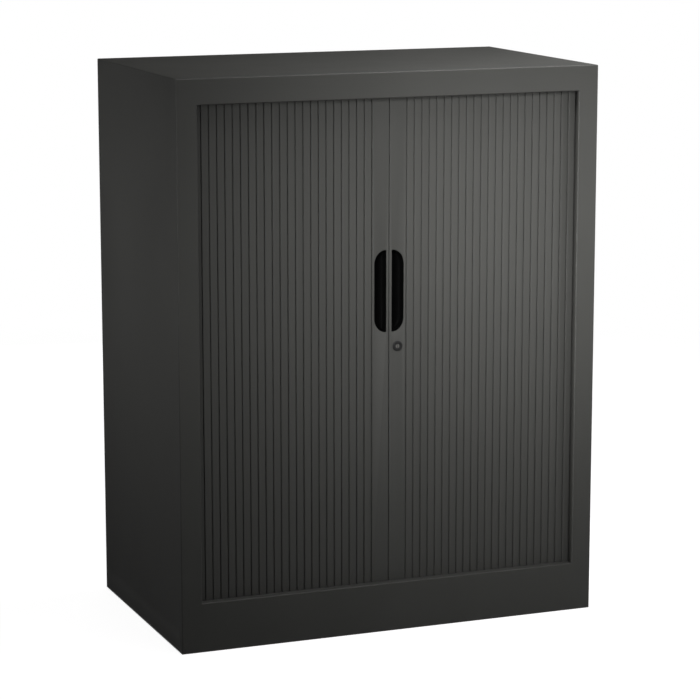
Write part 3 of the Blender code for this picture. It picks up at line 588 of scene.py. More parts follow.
def turned_outwards(mesh: Mesh) -> None:
    """Flips a mesh whose faces look inwards: the sum of area times normal times centre is negative.

    Args:
        mesh: Closed mesh whose faces agree with each other.
    """
    count = len(mesh.polygons)
    centres, normals = np.empty(count * 3), np.empty(count * 3)
    areas = np.empty(count)
    mesh.polygons.foreach_get("center", centres)
    mesh.polygons.foreach_get("normal", normals)
    mesh.polygons.foreach_get("area", areas)
    centres, normals = centres.reshape(-1, 3), normals.reshape(-1, 3)
    middle = (centres * areas[:, None]).sum(0) / areas.sum()
    if (areas * ((centres - middle) * normals).sum(1)).sum() < 0:
        mesh.flip_normals()


def in_scene(name: str, data: ID) -> Object:
    """Puts a new object in the scene.

    Args:
        name: Name of the object.
        data: Its mesh, lamp or camera.

    Returns:
        The object.
    """
    obj = bpy.data.objects.new(name, data)
    bpy.context.scene.collection.objects.link(obj)
    return obj


def piece(
    mesh: Mesh, finish: Material, body: str, nodes: Iterable[str] = ()
) -> Object:
    """Puts a finished mesh in the scene as one piece of the cabinet.

    Args:
        mesh: Mesh whose place is in its points.
        finish: Its material.
        body: Body that it moves with.
        nodes: Solids that it stands for.

    Returns:
        The object.
    """
    obj = in_scene(mesh.name, mesh)
    mesh.materials.clear()
    mesh.materials.append(finish)
    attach(obj, body)
    if nodes:
        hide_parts(*nodes)
    LOG.info("%s: %d faces, rides on %s", obj.name, len(mesh.polygons), body)
    return obj


def carved(mesh: Mesh, cutters: Iterable[Mesh]) -> Mesh:
    """A mesh with other closed meshes cut out of it.

    Args:
        mesh: Closed mesh that is cut.
        cutters: Closed meshes to take away.

    Returns:
        The cut mesh, under the same name.
    """
    name = mesh.name
    block = in_scene("block", mesh)
    tools = [in_scene("tool", cutter) for cutter in cutters]
    for tool in tools:
        step = block.modifiers.new("cut", "BOOLEAN")
        step.operation = "DIFFERENCE"
        step.solver = "EXACT"
        step.object = tool
    bpy.context.view_layer.update()
    cut = bpy.data.meshes.new_from_object(block.evaluated_get(bpy.context.evaluated_depsgraph_get()))
    for obj in [block, *tools]:
        spare = obj.data
        bpy.data.objects.remove(obj)
        bpy.data.meshes.remove(spare)
    cut.name = name
    cut.shade_smooth()
    cut.set_sharp_from_angle(angle=SHARP_ANGLE)
    return cut


def block_skin(low: Iterable[float], high: Iterable[float]) -> Skin:
    """Skin of a box between two corners, for a cut."""
    (x0, y0, z0), (x1, y1, z1) = low, high
    return Skin().prism(np.array([(x0, y0), (x1, y0), (x1, y1), (x0, y1)]), z0, z1)


def dress(nodes: Iterable[str], finish: Material) -> None:
    """Gives a finish to solids that stay as they are.

    Args:
        nodes: Names of the solids.
        finish: Their material.
    """
    for name in nodes:
        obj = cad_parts[name]
        for place in obj.material_slots:
            place.material = finish
        LOG.info("%s: dressed in %s", name, finish.name)


# The cabinet's own pieces


@dataclass
class Shell:
    """Folded outer sheet: both sides, the top and the front frame, welded and ground to one skin.

    The skin is a profile carried round the doors. A station of the profile is a weighted mix of three
    rectangles (the door opening, the outside, the inner edge of the rear flange) plus an offset from
    the opening or from the outside, at a depth Y.
    """

    finishes: Finishes
    width: float = 0.800
    depth: float = 0.470
    height: float = 1.016
    ground: float = 0.001
    sheet: float = 0.001
    bend: float = 0.002
    stile: float = 0.038
    fascia: float = 0.046
    plinth: float = 0.091
    return_depth: float = 0.016
    lip: float = 0.020
    rear_flange: float = 0.018
    foot_flange: float = 0.020
    bend_steps: int = 7
    corner_steps: int = 6
    weld_pitch: float = 0.070
    weld_radius: float = 0.0028
    weld_depth: float = 0.00035
    weld_steps: int = 3
    edge_support: float = 0.0004

    @property
    def flange_middle(self) -> float:
        """Distance of the rear flange's middle line from the outside."""
        return (self.bend + self.rear_flange) / 2

    @property
    def weld_lines(self) -> np.ndarray:
        """Offsets from a weld's middle of the grid lines that cross it."""
        return np.linspace(-1, 1, 2 * self.weld_steps + 1) * self.weld_radius

    def weld_places(self, length: float) -> np.ndarray:
        """Places of the spot welds along a flange, evenly spaced and centred on its length."""
        count = int(length / self.weld_pitch)
        return (np.arange(count) - (count - 1) / 2) * self.weld_pitch

    def weld_stations(self, places: np.ndarray) -> np.ndarray:
        """Places of the grid lines that cross the welds: each place plus its lines' offsets."""
        return (places[:, None] + self.weld_lines).ravel()

    @staticmethod
    def stations(*columns: np.ndarray | float) -> np.ndarray:
        """Stations of six points or directions in X and Z, from twelve columns or constants."""
        return table(*columns).reshape(-1, 6, 2)

    def loop(self) -> tuple[np.ndarray, np.ndarray]:
        """Stations round the doors, from the lower left corner up, across and down.

        Returns:
            Each station's point of the opening, of the outside and of the flange's edge, and its
            directions out of the opening, out of the outside and along the lip; and the run that
            each edge is on.
        """
        half, top, bend = self.width / 2, self.height, self.bend
        opening, head = half - self.stile, top - self.fascia
        flange_x, flange_top = half - self.rear_flange, top - self.rear_flange
        rise = top - self.flange_middle - self.ground
        side = np.append(0.0, (self.weld_stations(self.weld_places(rise)) + rise / 2) / rise)
        inner, outer, flange = (
            low + side * (high - low)
            for low, high in ((self.plinth, head), (self.ground, top - bend), (self.ground, flange_top))
        )
        upright = self.stations(-opening, inner, -half, outer, -flange_x, flange, -1, 0, -1, 0, 0, -1)
        # At the lower corner the ways out of the opening and of the outside point down as well
        upright[0, 3:5] = -1
        angles = np.linspace(2 * QUARTER, QUARTER, self.corner_steps + 1)
        x, z = np.cos(angles), np.sin(angles)
        outer_x, outer_z = -half + bend + bend * x, top - bend + bend * z
        corner = self.stations(-opening, head, outer_x, outer_z, -flange_x, flange_top, -1, 1, x, z, 0, 1)
        reach = half - self.flange_middle
        run = self.weld_stations(self.weld_places(2 * reach)) / reach
        middle = self.stations(
            run * opening, head, run * (half - bend), top, run * flange_x, flange_top, 0, 1, 0, 1, 0, 1
        )
        left = np.concatenate([upright, corner])
        runs = np.full(2 * len(left) + len(run), Run.SIDE)
        runs[len(left) - 1 : len(left) + len(run)] = Run.TOP
        runs[-1] = Run.BOTTOM
        return np.concatenate([left, middle, left[::-1] * (-1, 1)]), runs

    def profile(self) -> tuple[np.ndarray, int]:
        """Stations across the sheet, from the lip behind the opening to the edge of the rear flange.

        Returns:
            Rows of (share of the opening, of the outside, of the flange's edge, offset from the
            opening, offset from the outside, reach of the lip, Y), and the row that ends the foot flange.
        """
        front, rear, bend = -self.depth / 2, self.depth / 2, self.bend
        back, start = front + self.return_depth, bend + self.edge_support
        angles = np.linspace(0, QUARTER, self.bend_steps + 1)
        # Along a bend: distance off the face where it starts, and left to the face where it ends
        off, left = bend * (1 - np.cos(angles)), bend * (1 - np.sin(angles))
        support = self.edge_support / self.stile
        face = np.array([support, 1 - support])
        flat = self.rear_flange - bend
        flange = np.concatenate([[self.edge_support / flat], MIDDLE + self.weld_lines / flat, [1.0]])
        before = [
            table(1, 0, 0, 0, 0, self.lip, back),
            table(1, 0, 0, 0, 0, 0, np.array([back, front + start])),
            table(1, 0, 0, off, 0, 0, front + left),
            table(1 - face, face, 0, bend * (1 - face), -bend * face, 0, front),
            table(0, 1, 0, 0, -left, 0, front + off),
            table(0, 1, 0, 0, 0, 0, np.array([front + start, front + self.foot_flange])),
        ]
        behind = [
            table(0, 1, 0, 0, 0, 0, rear - start),
            table(0, 1, 0, 0, -off, 0, rear - left),
            table(0, 1 - flange, flange, 0, -bend * (1 - flange), 0, rear),
        ]
        return np.vstack(before + behind), sum(len(rows) for rows in before) - 1

    def dimples(self, spots: np.ndarray) -> np.ndarray:
        """Depth of the spot welds: half the depth times 1 + cos(pi distance / radius) inside the radius.

        Args:
            spots: Grid of points of the shell.

        Returns:
            Depth at each point, nothing off the rear face.
        """
        half, middle = self.width / 2, self.flange_middle
        rise = self.height - middle - self.ground
        heights = self.weld_places(rise) + rise / 2 + self.ground
        reach = half - middle
        along = self.weld_places(2 * reach)
        uprights = [table(x, heights) for x in (-reach, reach)]
        centres = np.vstack([*uprights, table(along, self.height - middle)])
        flat = spots[..., (0, 2)]
        distance = np.min(np.linalg.norm(flat[..., None, :] - centres, axis=-1), axis=-1)
        share = np.clip(distance / self.weld_radius, 0, 1)
        on_rear = spots[..., 1] > self.depth / 2 - WELD
        return np.where(on_rear, self.weld_depth * (1 + np.cos(math.pi * share)) / 2, 0)

    def build(self) -> None:
        """Makes the shell, 1 mm thick inwards from its outer skin."""
        loop, runs = self.loop()
        rows, foot_end = self.profile()
        flat = np.einsum("nkc,mk->nmc", loop, rows[:, :-1])
        depth = np.broadcast_to(rows[:, -1], flat.shape[:2])
        spots = np.stack([flat[..., 0], depth, flat[..., 1]], axis=-1)
        spots[..., 1] -= self.dimples(spots)
        keep = np.ones((len(runs), len(rows) - 1), bool)
        keep[runs == Run.SIDE, 0] = False
        keep[runs == Run.BOTTOM, foot_end:] = False
        mesh = Skin().grid(spots, loop_rows=True, keep=keep).mesh("cabinet_shell")
        nodes = ("top_panel", "plinth", "side_panel_left", "side_panel_right")
        obj = piece(mesh, self.finishes.coat, "cabinet", nodes)
        wall = obj.modifiers.new("sheet", "SOLIDIFY")
        wall.thickness = self.sheet
        wall.offset = -1.0
        wall.use_even_offset = True


@dataclass
class Curtain:
    """One door's slats.

    Seen from above, a slat is a crowned face with eased edges on two webs, a bead on a neck at its
    start and an open socket at its end, where the next slat's bead sits.
    """

    finishes: Finishes
    side: Side
    pitch: float = SLAT_PITCH
    groove: float = 0.0022
    face: float = 0.0015
    crown: float = 0.00018
    edge: float = 0.0005
    hollow: float = 0.0005
    web: float = 0.0010
    bead: float = 0.0012
    bead_depth: float = 0.0038
    setback: float = 0.0022
    neck: float = 0.0010
    shoulder: float = 0.0027
    lip_gap: float = 0.0003
    bore: float = 0.0016
    socket: float = 0.0024
    mouth: float = math.radians(48)
    face_y: float = CURTAIN_FACE
    first_x: float = 0.03105
    corner_x: float = 0.3615
    corner_radius: float = 0.028
    low: float = 0.0813
    high: float = 0.978
    strips: int = 7
    strip_slats: int = 3
    corner_slats: int = 5
    tail_slats: int = 4
    stack_step: float = 0.00003
    ease_steps: int = 4
    hollow_steps: int = 3
    crown_steps: int = 8
    bore_steps: int = 14
    socket_steps: int = 12
    bead_steps: int = 16

    def route(self, run: np.ndarray | float) -> np.ndarray:
        """Pivot line from above: straight, a quarter circle round the front corner, then straight back.

        Args:
            run: Distances along the line from its first pivot.

        Returns:
            Points in X and Y.
        """
        run = np.atleast_1d(np.asarray(run, float))
        pivot_y = self.face_y + self.bead_depth
        straight = self.corner_x - self.first_x
        angle = np.clip((run - straight) / self.corner_radius, 0, QUARTER)
        along = np.minimum(run, straight)
        past = np.maximum(run - straight - self.corner_radius * QUARTER, 0)
        x = self.first_x + along + self.corner_radius * np.sin(angle)
        y = pivot_y + self.corner_radius * (1 - np.cos(angle)) + past
        return np.column_stack([x, y])

    def placed(self, index: int, local: np.ndarray) -> np.ndarray:
        """Points of a slat (along it, behind its face) set on the route.

        Args:
            index: Number of the slat from the leading stile.
            local: Rows of reach along the slat and depth behind its face.

        Returns:
            Rows of X and Y.
        """
        start, end = self.route(np.array([index, index + 1]) * self.pitch)
        along = (end - start) / np.linalg.norm(end - start)
        outward = np.array([along[1], -along[0]])
        return start + local[:, :1] * along + (self.bead_depth - local[:, 1:]) * outward

    @property
    def lip(self) -> tuple[float, float]:
        """Front lip of the socket, as reach along the slat and depth behind its face."""
        reach = self.pitch + self.socket * math.cos(self.mouth)
        return reach, self.bead_depth - self.socket * math.sin(self.mouth)

    def face_points(self) -> np.ndarray:
        """Front of a slat: shoulder behind the groove, eased edge, crown, eased edge and lip.

        The crown's depth is crown (2 t - 1)^2, with t from 0 to 1 across the face.

        Returns:
            Rows of reach along the slat and depth behind its face.
        """
        start = self.setback + self.groove / 2
        end = self.pitch + self.setback - self.groove / 2
        low = self.crown + self.edge
        neck = self.bead_depth - self.neck / 2
        reach, depth = self.lip
        foot = reach - self.pitch + self.lip_gap
        small, shoulder = self.hollow, self.shoulder
        rise = arc((foot + small, shoulder + small), small, -2 * QUARTER, -QUARTER, self.hollow_steps)
        hollow = arc((start - small, shoulder - small), small, QUARTER, 0, self.hollow_steps)
        near = arc((start + self.edge, low), self.edge, -2 * QUARTER, -QUARTER, self.ease_steps)
        far = arc((end - self.edge, low), self.edge, -QUARTER, 0, self.ease_steps)
        share = np.linspace(0, 1, self.crown_steps + 1)[1:-1]
        along = start + self.edge + share * (end - start - 2 * self.edge)
        crowned = np.column_stack([along, self.crown * (2 * share - 1) ** 2])
        return np.vstack([[(foot, neck)], rise, hollow, near, crowned, far, [(reach, depth), (reach, neck)]])

    def outline(self, first: int, count: int) -> np.ndarray:
        """Outline of slats hooked in a row, seen from above.

        Args:
            first: Number of the first slat.
            count: Number of slats.

        Returns:
            Closed outline, the first slat's bead last.
        """
        start = self.setback + self.groove / 2 + self.web
        end = self.pitch + self.setback - self.groove / 2 - self.web
        back = self.bead_depth + self.neck / 2
        numbers = range(first, first + count)
        parts = [self.placed(index, self.face_points()) for index in numbers]
        parts[-1] = parts[-1][:-1]
        centre = (self.pitch, self.bead_depth)
        bore = arc(centre, self.bore, TURN - self.mouth, self.mouth, self.bore_steps)
        meets = math.pi + math.asin((self.bead_depth - self.face) / self.socket)
        shell = arc(centre, self.socket, self.mouth, meets, self.socket_steps)
        last = first + count - 1
        parts.append(self.placed(last, np.vstack([bore, shell])))
        for index in reversed(numbers):
            corners = [(start, self.face), (start, back)]
            if index != last:
                corners = [(end, back), (end, self.face)] + corners
            parts.append(self.placed(index, np.array(corners)))
        half_neck = math.asin(self.neck / 2 / self.bead)
        bead = arc((0, self.bead_depth), self.bead, half_neck, TURN - half_neck, self.bead_steps)
        parts.append(self.placed(first, bead))
        return np.vstack(parts)

    def row(self, name: str, first: int, count: int, body: str, back: float) -> None:
        """Makes one row of slats.

        Args:
            name: End of the piece's name and of its solid's.
            first: Number of the first slat.
            count: Number of slats.
            body: Body that the row moves with.
            back: Setback, less than a paint film, so that rows which meet when the door is open
                don't share a face.
        """
        outline = self.outline(first, count) + np.array([0, back])
        mesh = Skin().prism(outline, self.low, self.high).mesh("slats_" + name, self.side)
        piece(mesh, self.finishes.slats, body, ["curtain_" + name])

    def build(self) -> None:
        """Makes the strips, the corner and the tail."""
        word = self.side.word
        for strip in range(self.strips):
            name = f"strip_{word}_{strip + 1}"
            body = f"{word}_strip_{strip + 1}"
            self.row(name, strip * self.strip_slats, self.strip_slats, body, strip * self.stack_step)
        moving = self.strips * self.strip_slats
        self.row("corner_" + word, moving, self.corner_slats, "cabinet", self.strips * self.stack_step)
        self.row("tail_" + word, moving + self.corner_slats, self.tail_slats, word + "_tail", 0)


@dataclass
class HandleCup:
    """Black finger cup with a D-shaped mouth, its straight side towards the gap between the doors."""

    finishes: Finishes
    side: Side
    inner_x: float = 0.00535
    outer_x: float = 0.02805
    centre_z: float = 0.6246
    height: float = 0.1476
    face_y: float = CURTAIN_FACE
    depth: float = 0.0152
    wall: float = 0.0012
    big_radius: float = 0.0212
    stretch: float = 1.2
    small_radius: float = 0.0015
    floor_radius: float = 0.0045
    back_radius: float = 0.002
    draft: float = 0.0003
    rim: tuple = ((0.0, 0.45), (-0.10, 0.12), (-0.35, 0.0), (-0.85, 0.0), (-1.10, 0.12), (-1.20, 0.45))
    flare: tuple = ((0.9, -1.0), (0.9, 0.0), (0.55, 0.12), (0.36, 0.4), (0.30, 0.8), (0.30, 20.0))
    big_steps: int = 12
    small_steps: int = 4
    back_steps: int = 4
    floor_steps: int = 6

    def outline(self, margin: float) -> np.ndarray:
        """D outline grown by a margin: two large arcs on the outer side and two small ones inside.

        The large arcs are ellipses, higher than they are wide.

        Args:
            margin: Distance outwards from the cup's own outline.

        Returns:
            Rows of X and Z.
        """
        inner, outer = self.inner_x - margin, self.outer_x + margin
        rise = self.height / 2 + margin
        big = self.big_radius + margin
        tall = self.big_radius * self.stretch + margin
        small = max(self.small_radius + margin, self.wall / 2)
        swing = math.acos(np.clip((inner + small - (outer - big)) / big, -1, 1))
        upper = arc((0, 0), 1, 0, swing, self.big_steps) * (big, tall) + (outer - big, rise - tall)
        tip = upper[-1]
        corner = arc((inner + small, tip[1] - small), small, QUARTER, 2 * QUARTER, self.small_steps)
        half = np.vstack([upper, corner[1:]])
        lower = half[::-1] * np.array([1, -1])
        return np.vstack([half, lower]) + np.array([0, self.centre_z])

    def carried(self, stations: np.ndarray) -> Skin:
        """Closed skin of rings: the outline at each station's margin, set at its depth behind the face."""
        return Skin().tube(np.stack([set_at(self.outline(grow), self.face_y + y) for grow, y in stations]))

    def skin(self) -> Skin:
        """Wall carried in from the back edge over the rim and down to the floor of the cup.

        Each station is a margin of the outline and a depth; rim and flare give theirs in millimetres.

        Returns:
            Closed skin of the cup.
        """
        back, floor, radius = self.back_radius, self.depth - self.wall, self.floor_radius
        round_back = arc((-back, self.depth - back), back, QUARTER, 0, self.back_steps)
        draft = self.wall + self.draft
        fillet = arc((-draft - radius, floor - radius), radius, 0, QUARTER, self.floor_steps)
        return self.carried(np.vstack([round_back, np.array(self.rim) / MILLIMETRES, fillet]))

    def hole(self) -> Skin:
        """Tool for the cup's hole in the stile: clear of the cup, flared over the last 0.6 mm."""
        return self.carried(np.array(self.flare) / MILLIMETRES)

    def build(self) -> None:
        """Makes the cup."""
        word = self.side.word
        mesh = self.skin().mesh("finger_cup_" + word, self.side)
        piece(mesh, self.finishes.cup, word + "_door", ["handle_cup_" + word])


@dataclass
class Lock:
    """Round cam lock below the right cup: bezel, plug with a warded keyway."""

    finishes: Finishes
    x: float = 0.0165
    z: float = 0.524
    face_y: float = CURTAIN_FACE
    flange: float = 0.0093
    proud: float = 0.0018
    barrel: float = 0.0080
    plug: float = 0.0055
    gap: float = 0.0003
    tail: float = 0.013
    plug_tail: float = 0.0139
    recess: float = 0.0013
    mouth: float = 0.0036
    dish: float = 0.0011
    dome: float = 0.0014
    rim: float = 0.0004
    steps: int = 48
    dome_steps: int = 6
    dish_steps: int = 5
    key_width: float = 0.0014
    key_height: float = 0.0066
    key_depth: float = 0.006
    key_clear: float = 0.001
    ward: float = 0.45
    ward_low: float = 0.25
    ward_high: float = 0.3
    hole_front: float = 0.003
    hole_rear: float = -0.02

    def around(self, profile: np.ndarray) -> np.ndarray:
        """Profile of radius and height turned about the lock's axis, height towards the front."""
        return turned(profile, self.steps, (self.x, self.face_y, self.z), FORWARD)

    def bezel(self) -> Skin:
        """Ring on the stile: domed edge, dished lip over the plug's rim, and the barrel behind it.

        Returns:
            Closed skin of the ring.
        """
        bore, low = self.plug + self.gap, self.proud - self.dish
        top = (self.flange - self.dome, self.proud - self.dome)
        dome = arc(top, self.dome, QUARTER, 0, self.dome_steps)
        lead = arc((self.mouth + self.dish, low), self.dish, 2 * QUARTER, QUARTER, self.dish_steps)
        rest = [
            (self.flange, self.gap),
            (self.barrel, self.gap),
            (self.barrel, -self.tail),
            (bore, -self.tail),
            (bore, low),
        ]
        return Skin().grid(self.around(np.vstack([lead, dome, rest])), loop_rows=True, loop_columns=True)

    def barrel_plug(self) -> Skin:
        """Turned plug with a chamfered face.

        Returns:
            Closed skin of the plug.
        """
        front, side = self.proud - self.recess, self.plug
        profile = [(side - self.rim, front), (side, front - self.rim), (side, -self.plug_tail)]
        return Skin().tube(self.around(np.array(profile)))

    def keyway(self) -> Skin:
        """Tool for the keyway: a slot with one ward step in its side.

        Returns:
            Closed skin of the tool.
        """
        half, rise = self.key_width / 2, self.key_height / 2
        reach = half + self.key_width * self.ward
        low, high = -rise * self.ward_low, rise * self.ward_high
        slot = [(-half, -rise), (half, -rise), (half, low), (reach, low)]
        slot += [(reach, high), (half, high), (half, rise), (-half, rise)]
        flat = np.array(slot) + np.array([self.x, self.z])
        front = self.face_y - self.proud
        ends = (front - self.key_clear, front + self.recess + self.key_depth)
        return Skin().tube(np.stack([set_at(flat, y) for y in ends]))

    def hole(self) -> Skin:
        """Tool for the lock's hole in the stile."""
        radius = self.barrel + self.gap
        return Skin().tube(self.around(np.array([(radius, self.hole_front), (radius, self.hole_rear)])))

    def build(self) -> None:
        """Makes the bezel and the plug."""
        bezel = self.bezel().mesh("lock_bezel")
        piece(bezel, self.finishes.black, "right_door", ["lock_housing"])
        plug = carved(self.barrel_plug().mesh("lock_barrel_plug"), [self.keyway().mesh("keyway")])
        piece(plug, self.finishes.nickel, "lock", ["lock_plug"])


@dataclass
class LeadingStile:
    """Flat end bar of a door: eased face, a socket for the first slat's bead and a box behind it."""

    finishes: Finishes
    curtain: Curtain
    cup: HandleCup
    lock: Lock | None
    gap: float = 0.0015
    depth: float = 0.012
    ease: float = 0.0008
    plinth: float = 0.091
    head: float = 0.970
    notch: float = 0.001
    slat_depth: float = 0.0062
    tuck: float = 0.0004
    ease_steps: int = 5
    socket_steps: int = 8

    def outline(self) -> np.ndarray:
        """Plan of the bar, with arcs for its eased corners and for the socket.

        Returns:
            Closed outline in X and Y.
        """
        c = self.curtain
        start = self.gap / 2
        face_end = c.first_x + c.setback - c.groove / 2
        box_end = c.first_x - c.socket + self.tuck
        rear = c.face_y + self.depth
        centre = (c.first_x, c.face_y + c.bead_depth)
        meets = math.acos((box_end - c.first_x) / c.socket)
        ease, steps = self.ease, self.ease_steps
        return np.vstack(
            [
                arc((start + ease, c.face_y + ease), ease, -2 * QUARTER, -QUARTER, steps),
                arc((face_end - c.edge, c.face_y + c.edge), c.edge, -QUARTER, 0, c.ease_steps),
                arc(centre, c.socket, -c.mouth, -c.mouth, 0),
                arc(centre, c.bore, TURN - c.mouth, c.mouth, c.bore_steps),
                arc(centre, c.socket, c.mouth, meets, self.socket_steps),
                arc((box_end - ease, rear - ease), ease, 0, QUARTER, steps),
                arc((start + ease, rear - ease), ease, QUARTER, 2 * QUARTER, steps),
            ]
        )

    def build(self) -> None:
        """Makes the bar with its holes, thinned at its ends to run in the tracks."""
        c = self.curtain
        side = c.side
        name = "door_stile_" + side.word
        bar = Skin().prism(self.outline(), c.low, c.high).mesh(name, side)
        front = c.face_y + self.slat_depth
        reach = c.first_x + c.pitch
        tools = [
            block_skin((-self.notch, front, c.low - self.notch), (reach, 0, self.plinth + self.notch)),
            block_skin((-self.notch, front, self.head - self.notch), (reach, 0, c.high + self.notch)),
            self.cup.hole(),
        ]
        cutters = [tool.mesh("tool", side) for tool in tools]
        if self.lock is not None:
            cutters.append(self.lock.hole().mesh("lock_hole"))
        nodes = ["leading_stile_" + side.word]
        piece(carved(bar, cutters), self.finishes.slats, side.word + "_door", nodes)


@dataclass
class LevellingFoot:
    """Moulded pad with a ribbed edge under a turned collar and a threaded stem."""

    finishes: Finishes
    side: Side
    rear: bool
    x: float = 0.345
    y: float = 0.190
    pad: float = 0.019
    pad_height: float = 0.006
    neck: float = 0.012
    collar: float = 0.0085
    collar_top: float = 0.0117
    stem: float = 0.005
    top: float = 0.042
    thread_pitch: float = 0.0015
    thread_depth: float = 0.0007
    thread_rows: int = 8
    thread_fade: float = 0.001
    core: float = 0.0003
    edge: float = 0.0012
    edge_steps: int = 4
    collar_ease: float = 0.0004
    rib_share: float = 0.02
    ribs: int = 28
    steps: int = 112
    stem_steps: int = 28

    @property
    def centre(self) -> np.ndarray:
        """Middle of the foot on the ground."""
        return np.array([self.x, self.y if self.rear else -self.y, 0])

    def pad_grid(self) -> np.ndarray:
        """Turned pad whose radius carries ribs: radius (1 - rib share (1 + cos(ribs a)) / 2).

        Returns:
            Grid of rows of the profile and columns of the turn.
        """
        edge, ease, steps = self.edge, self.collar_ease, self.edge_steps
        rim = arc((self.pad - edge, edge), edge, -QUARTER, 0, steps)
        shoulder = arc((self.pad - edge, self.pad_height - edge), edge, 0, QUARTER, steps)
        lead = [(self.neck, self.pad_height), (self.collar + ease, self.collar_top - ease)]
        top = [(self.collar, self.collar_top), (self.stem, self.collar_top)]
        profile = np.vstack([rim, shoulder, lead, top])
        grid = turned(profile, self.steps, self.centre, UPRIGHT)
        angle = np.linspace(0, TURN, self.steps, endpoint=False)
        share = np.clip((profile[:, 0] - self.neck) / (self.pad - self.neck), 0, 1)[:, None]
        shrink = 1 - self.rib_share * share * (1 + np.cos(self.ribs * angle)) / 2
        return self.centre + (grid - self.centre) * np.stack([shrink, shrink, np.ones_like(shrink)], axis=-1)

    def stem_grid(self) -> np.ndarray:
        """Screw thread: radius less depth |2 frac(height / pitch - a / turn) - 1|, fading at its ends.

        Returns:
            Grid of rows up the stem and columns round it.
        """
        height = np.arange(self.collar_top, self.top, self.thread_pitch / self.thread_rows)[:, None]
        angle = np.linspace(0, TURN, self.stem_steps, endpoint=False)
        wave = np.abs(2 * ((height / self.thread_pitch - angle / TURN) % 1) - 1)
        fade = np.clip(np.minimum(height - self.collar_top, self.top - height) / self.thread_fade, 0, 1)
        radius = self.stem - self.thread_depth * wave * fade - self.core * (1 - fade)
        level = np.broadcast_to(height, radius.shape)
        return self.centre + np.stack([radius * np.cos(angle), radius * np.sin(angle), level], axis=-1)

    def build(self) -> None:
        """Makes the foot: the moulded pad and the threaded stem, two pieces that ride on one body."""
        name = f"foot_{self.side.word}_{'rear' if self.rear else 'front'}"
        pad, stem = Skin().tube(self.pad_grid()), Skin().tube(self.stem_grid())
        piece(pad.mesh("levelling_" + name, self.side), self.finishes.black, name, [name])
        piece(stem.mesh("stem_" + name, self.side), self.finishes.zinc, name)


@dataclass
class Inside:
    """Pans, floor, liners, shelves, clips, runners, tracks and lock parts, whose solids stay."""

    finishes: Finishes

    def build(self) -> None:
        """Dresses the solids."""
        sides = [side.word for side in Side]
        steel = ["ceiling_pan", "base_pan", "inner_floor", "back_panel", "shelf_lower", "shelf_upper"]
        steel += ["liner_" + word for word in sides]
        tracks = [f"track_{level}_{word}" for level in ("bottom", "top") for word in sides]
        clips = [
            f"shelf_clip_{level}_{word}_{end}"
            for level in ("lower", "upper")
            for word in sides
            for end in ("front", "rear")
        ]
        zinc = clips + ["base_runner_" + word for word in sides] + ["lock_hook", "lock_keeper"]
        dress(steel, self.finishes.coat)
        dress(tracks, self.finishes.track)
        dress(zinc, self.finishes.zinc)


# The studio


def aim(obj: Object, place: Point, way: Vector) -> None:
    """Sets a lamp or camera at its place, looking along a direction."""
    obj.location = place
    obj.rotation_euler = way.to_track_quat("-Z", "Y").to_euler()


def staged(mesh: Mesh, finish: Material) -> Object:
    """Puts a mesh of the studio in the scene.

    Args:
        mesh: Mesh whose place is in its points.
        finish: Its material.

    Returns:
        The object.
    """
    mesh.materials.append(finish)
    obj = in_scene(mesh.name, mesh)
    return obj


def flat_grid(corner: Point, first: Point, second: Point, steps: int) -> np.ndarray:
    """Grid of the points corner + s first + t second, with s and t in even steps from 0 to 1."""
    s, t = np.meshgrid(*[np.linspace(0, 1, steps + 1)] * 2, indexing="ij")
    return np.array(corner) + s[..., None] * np.array(first) + t[..., None] * np.array(second)


@dataclass
class SoftBox:
    """Rectangular soft lamp; a honeycomb in front of it narrows its spread."""

    name: str
    place: Point
    target: Point
    size: tuple[float, float]
    power: float
    spread: float = 180.0

    def build(self) -> None:
        """Makes the lamp, turned towards its target; the spread is in degrees."""
        lamp = bpy.data.lights.new(self.name, "AREA")
        lamp.shape = "RECTANGLE"
        lamp.size, lamp.size_y = self.size
        lamp.energy = self.power
        lamp.spread = math.radians(self.spread)
        aim(in_scene(self.name, lamp), self.place, Vector(self.target) - Vector(self.place))


@dataclass
class Card:
    """Flat grey card round the set, which only gloss sees: it keeps white off the satin faces."""

    name: str
    corner: Point
    first: Point
    second: Point
    brightness: float
    steps: int = 2

    def build(self) -> None:
        """Makes the card."""
        recipe = Paint(self.name)
        recipe.show(recipe.node("ShaderNodeEmission", inputs={"Strength": self.brightness}))
        spots = flat_grid(self.corner, self.first, self.second, self.steps)
        obj = staged(Skin().grid(spots).mesh(self.name), recipe.material)
        obj.visible_camera = obj.visible_diffuse = obj.visible_shadow = False
        obj.visible_transmission = obj.visible_volume_scatter = False


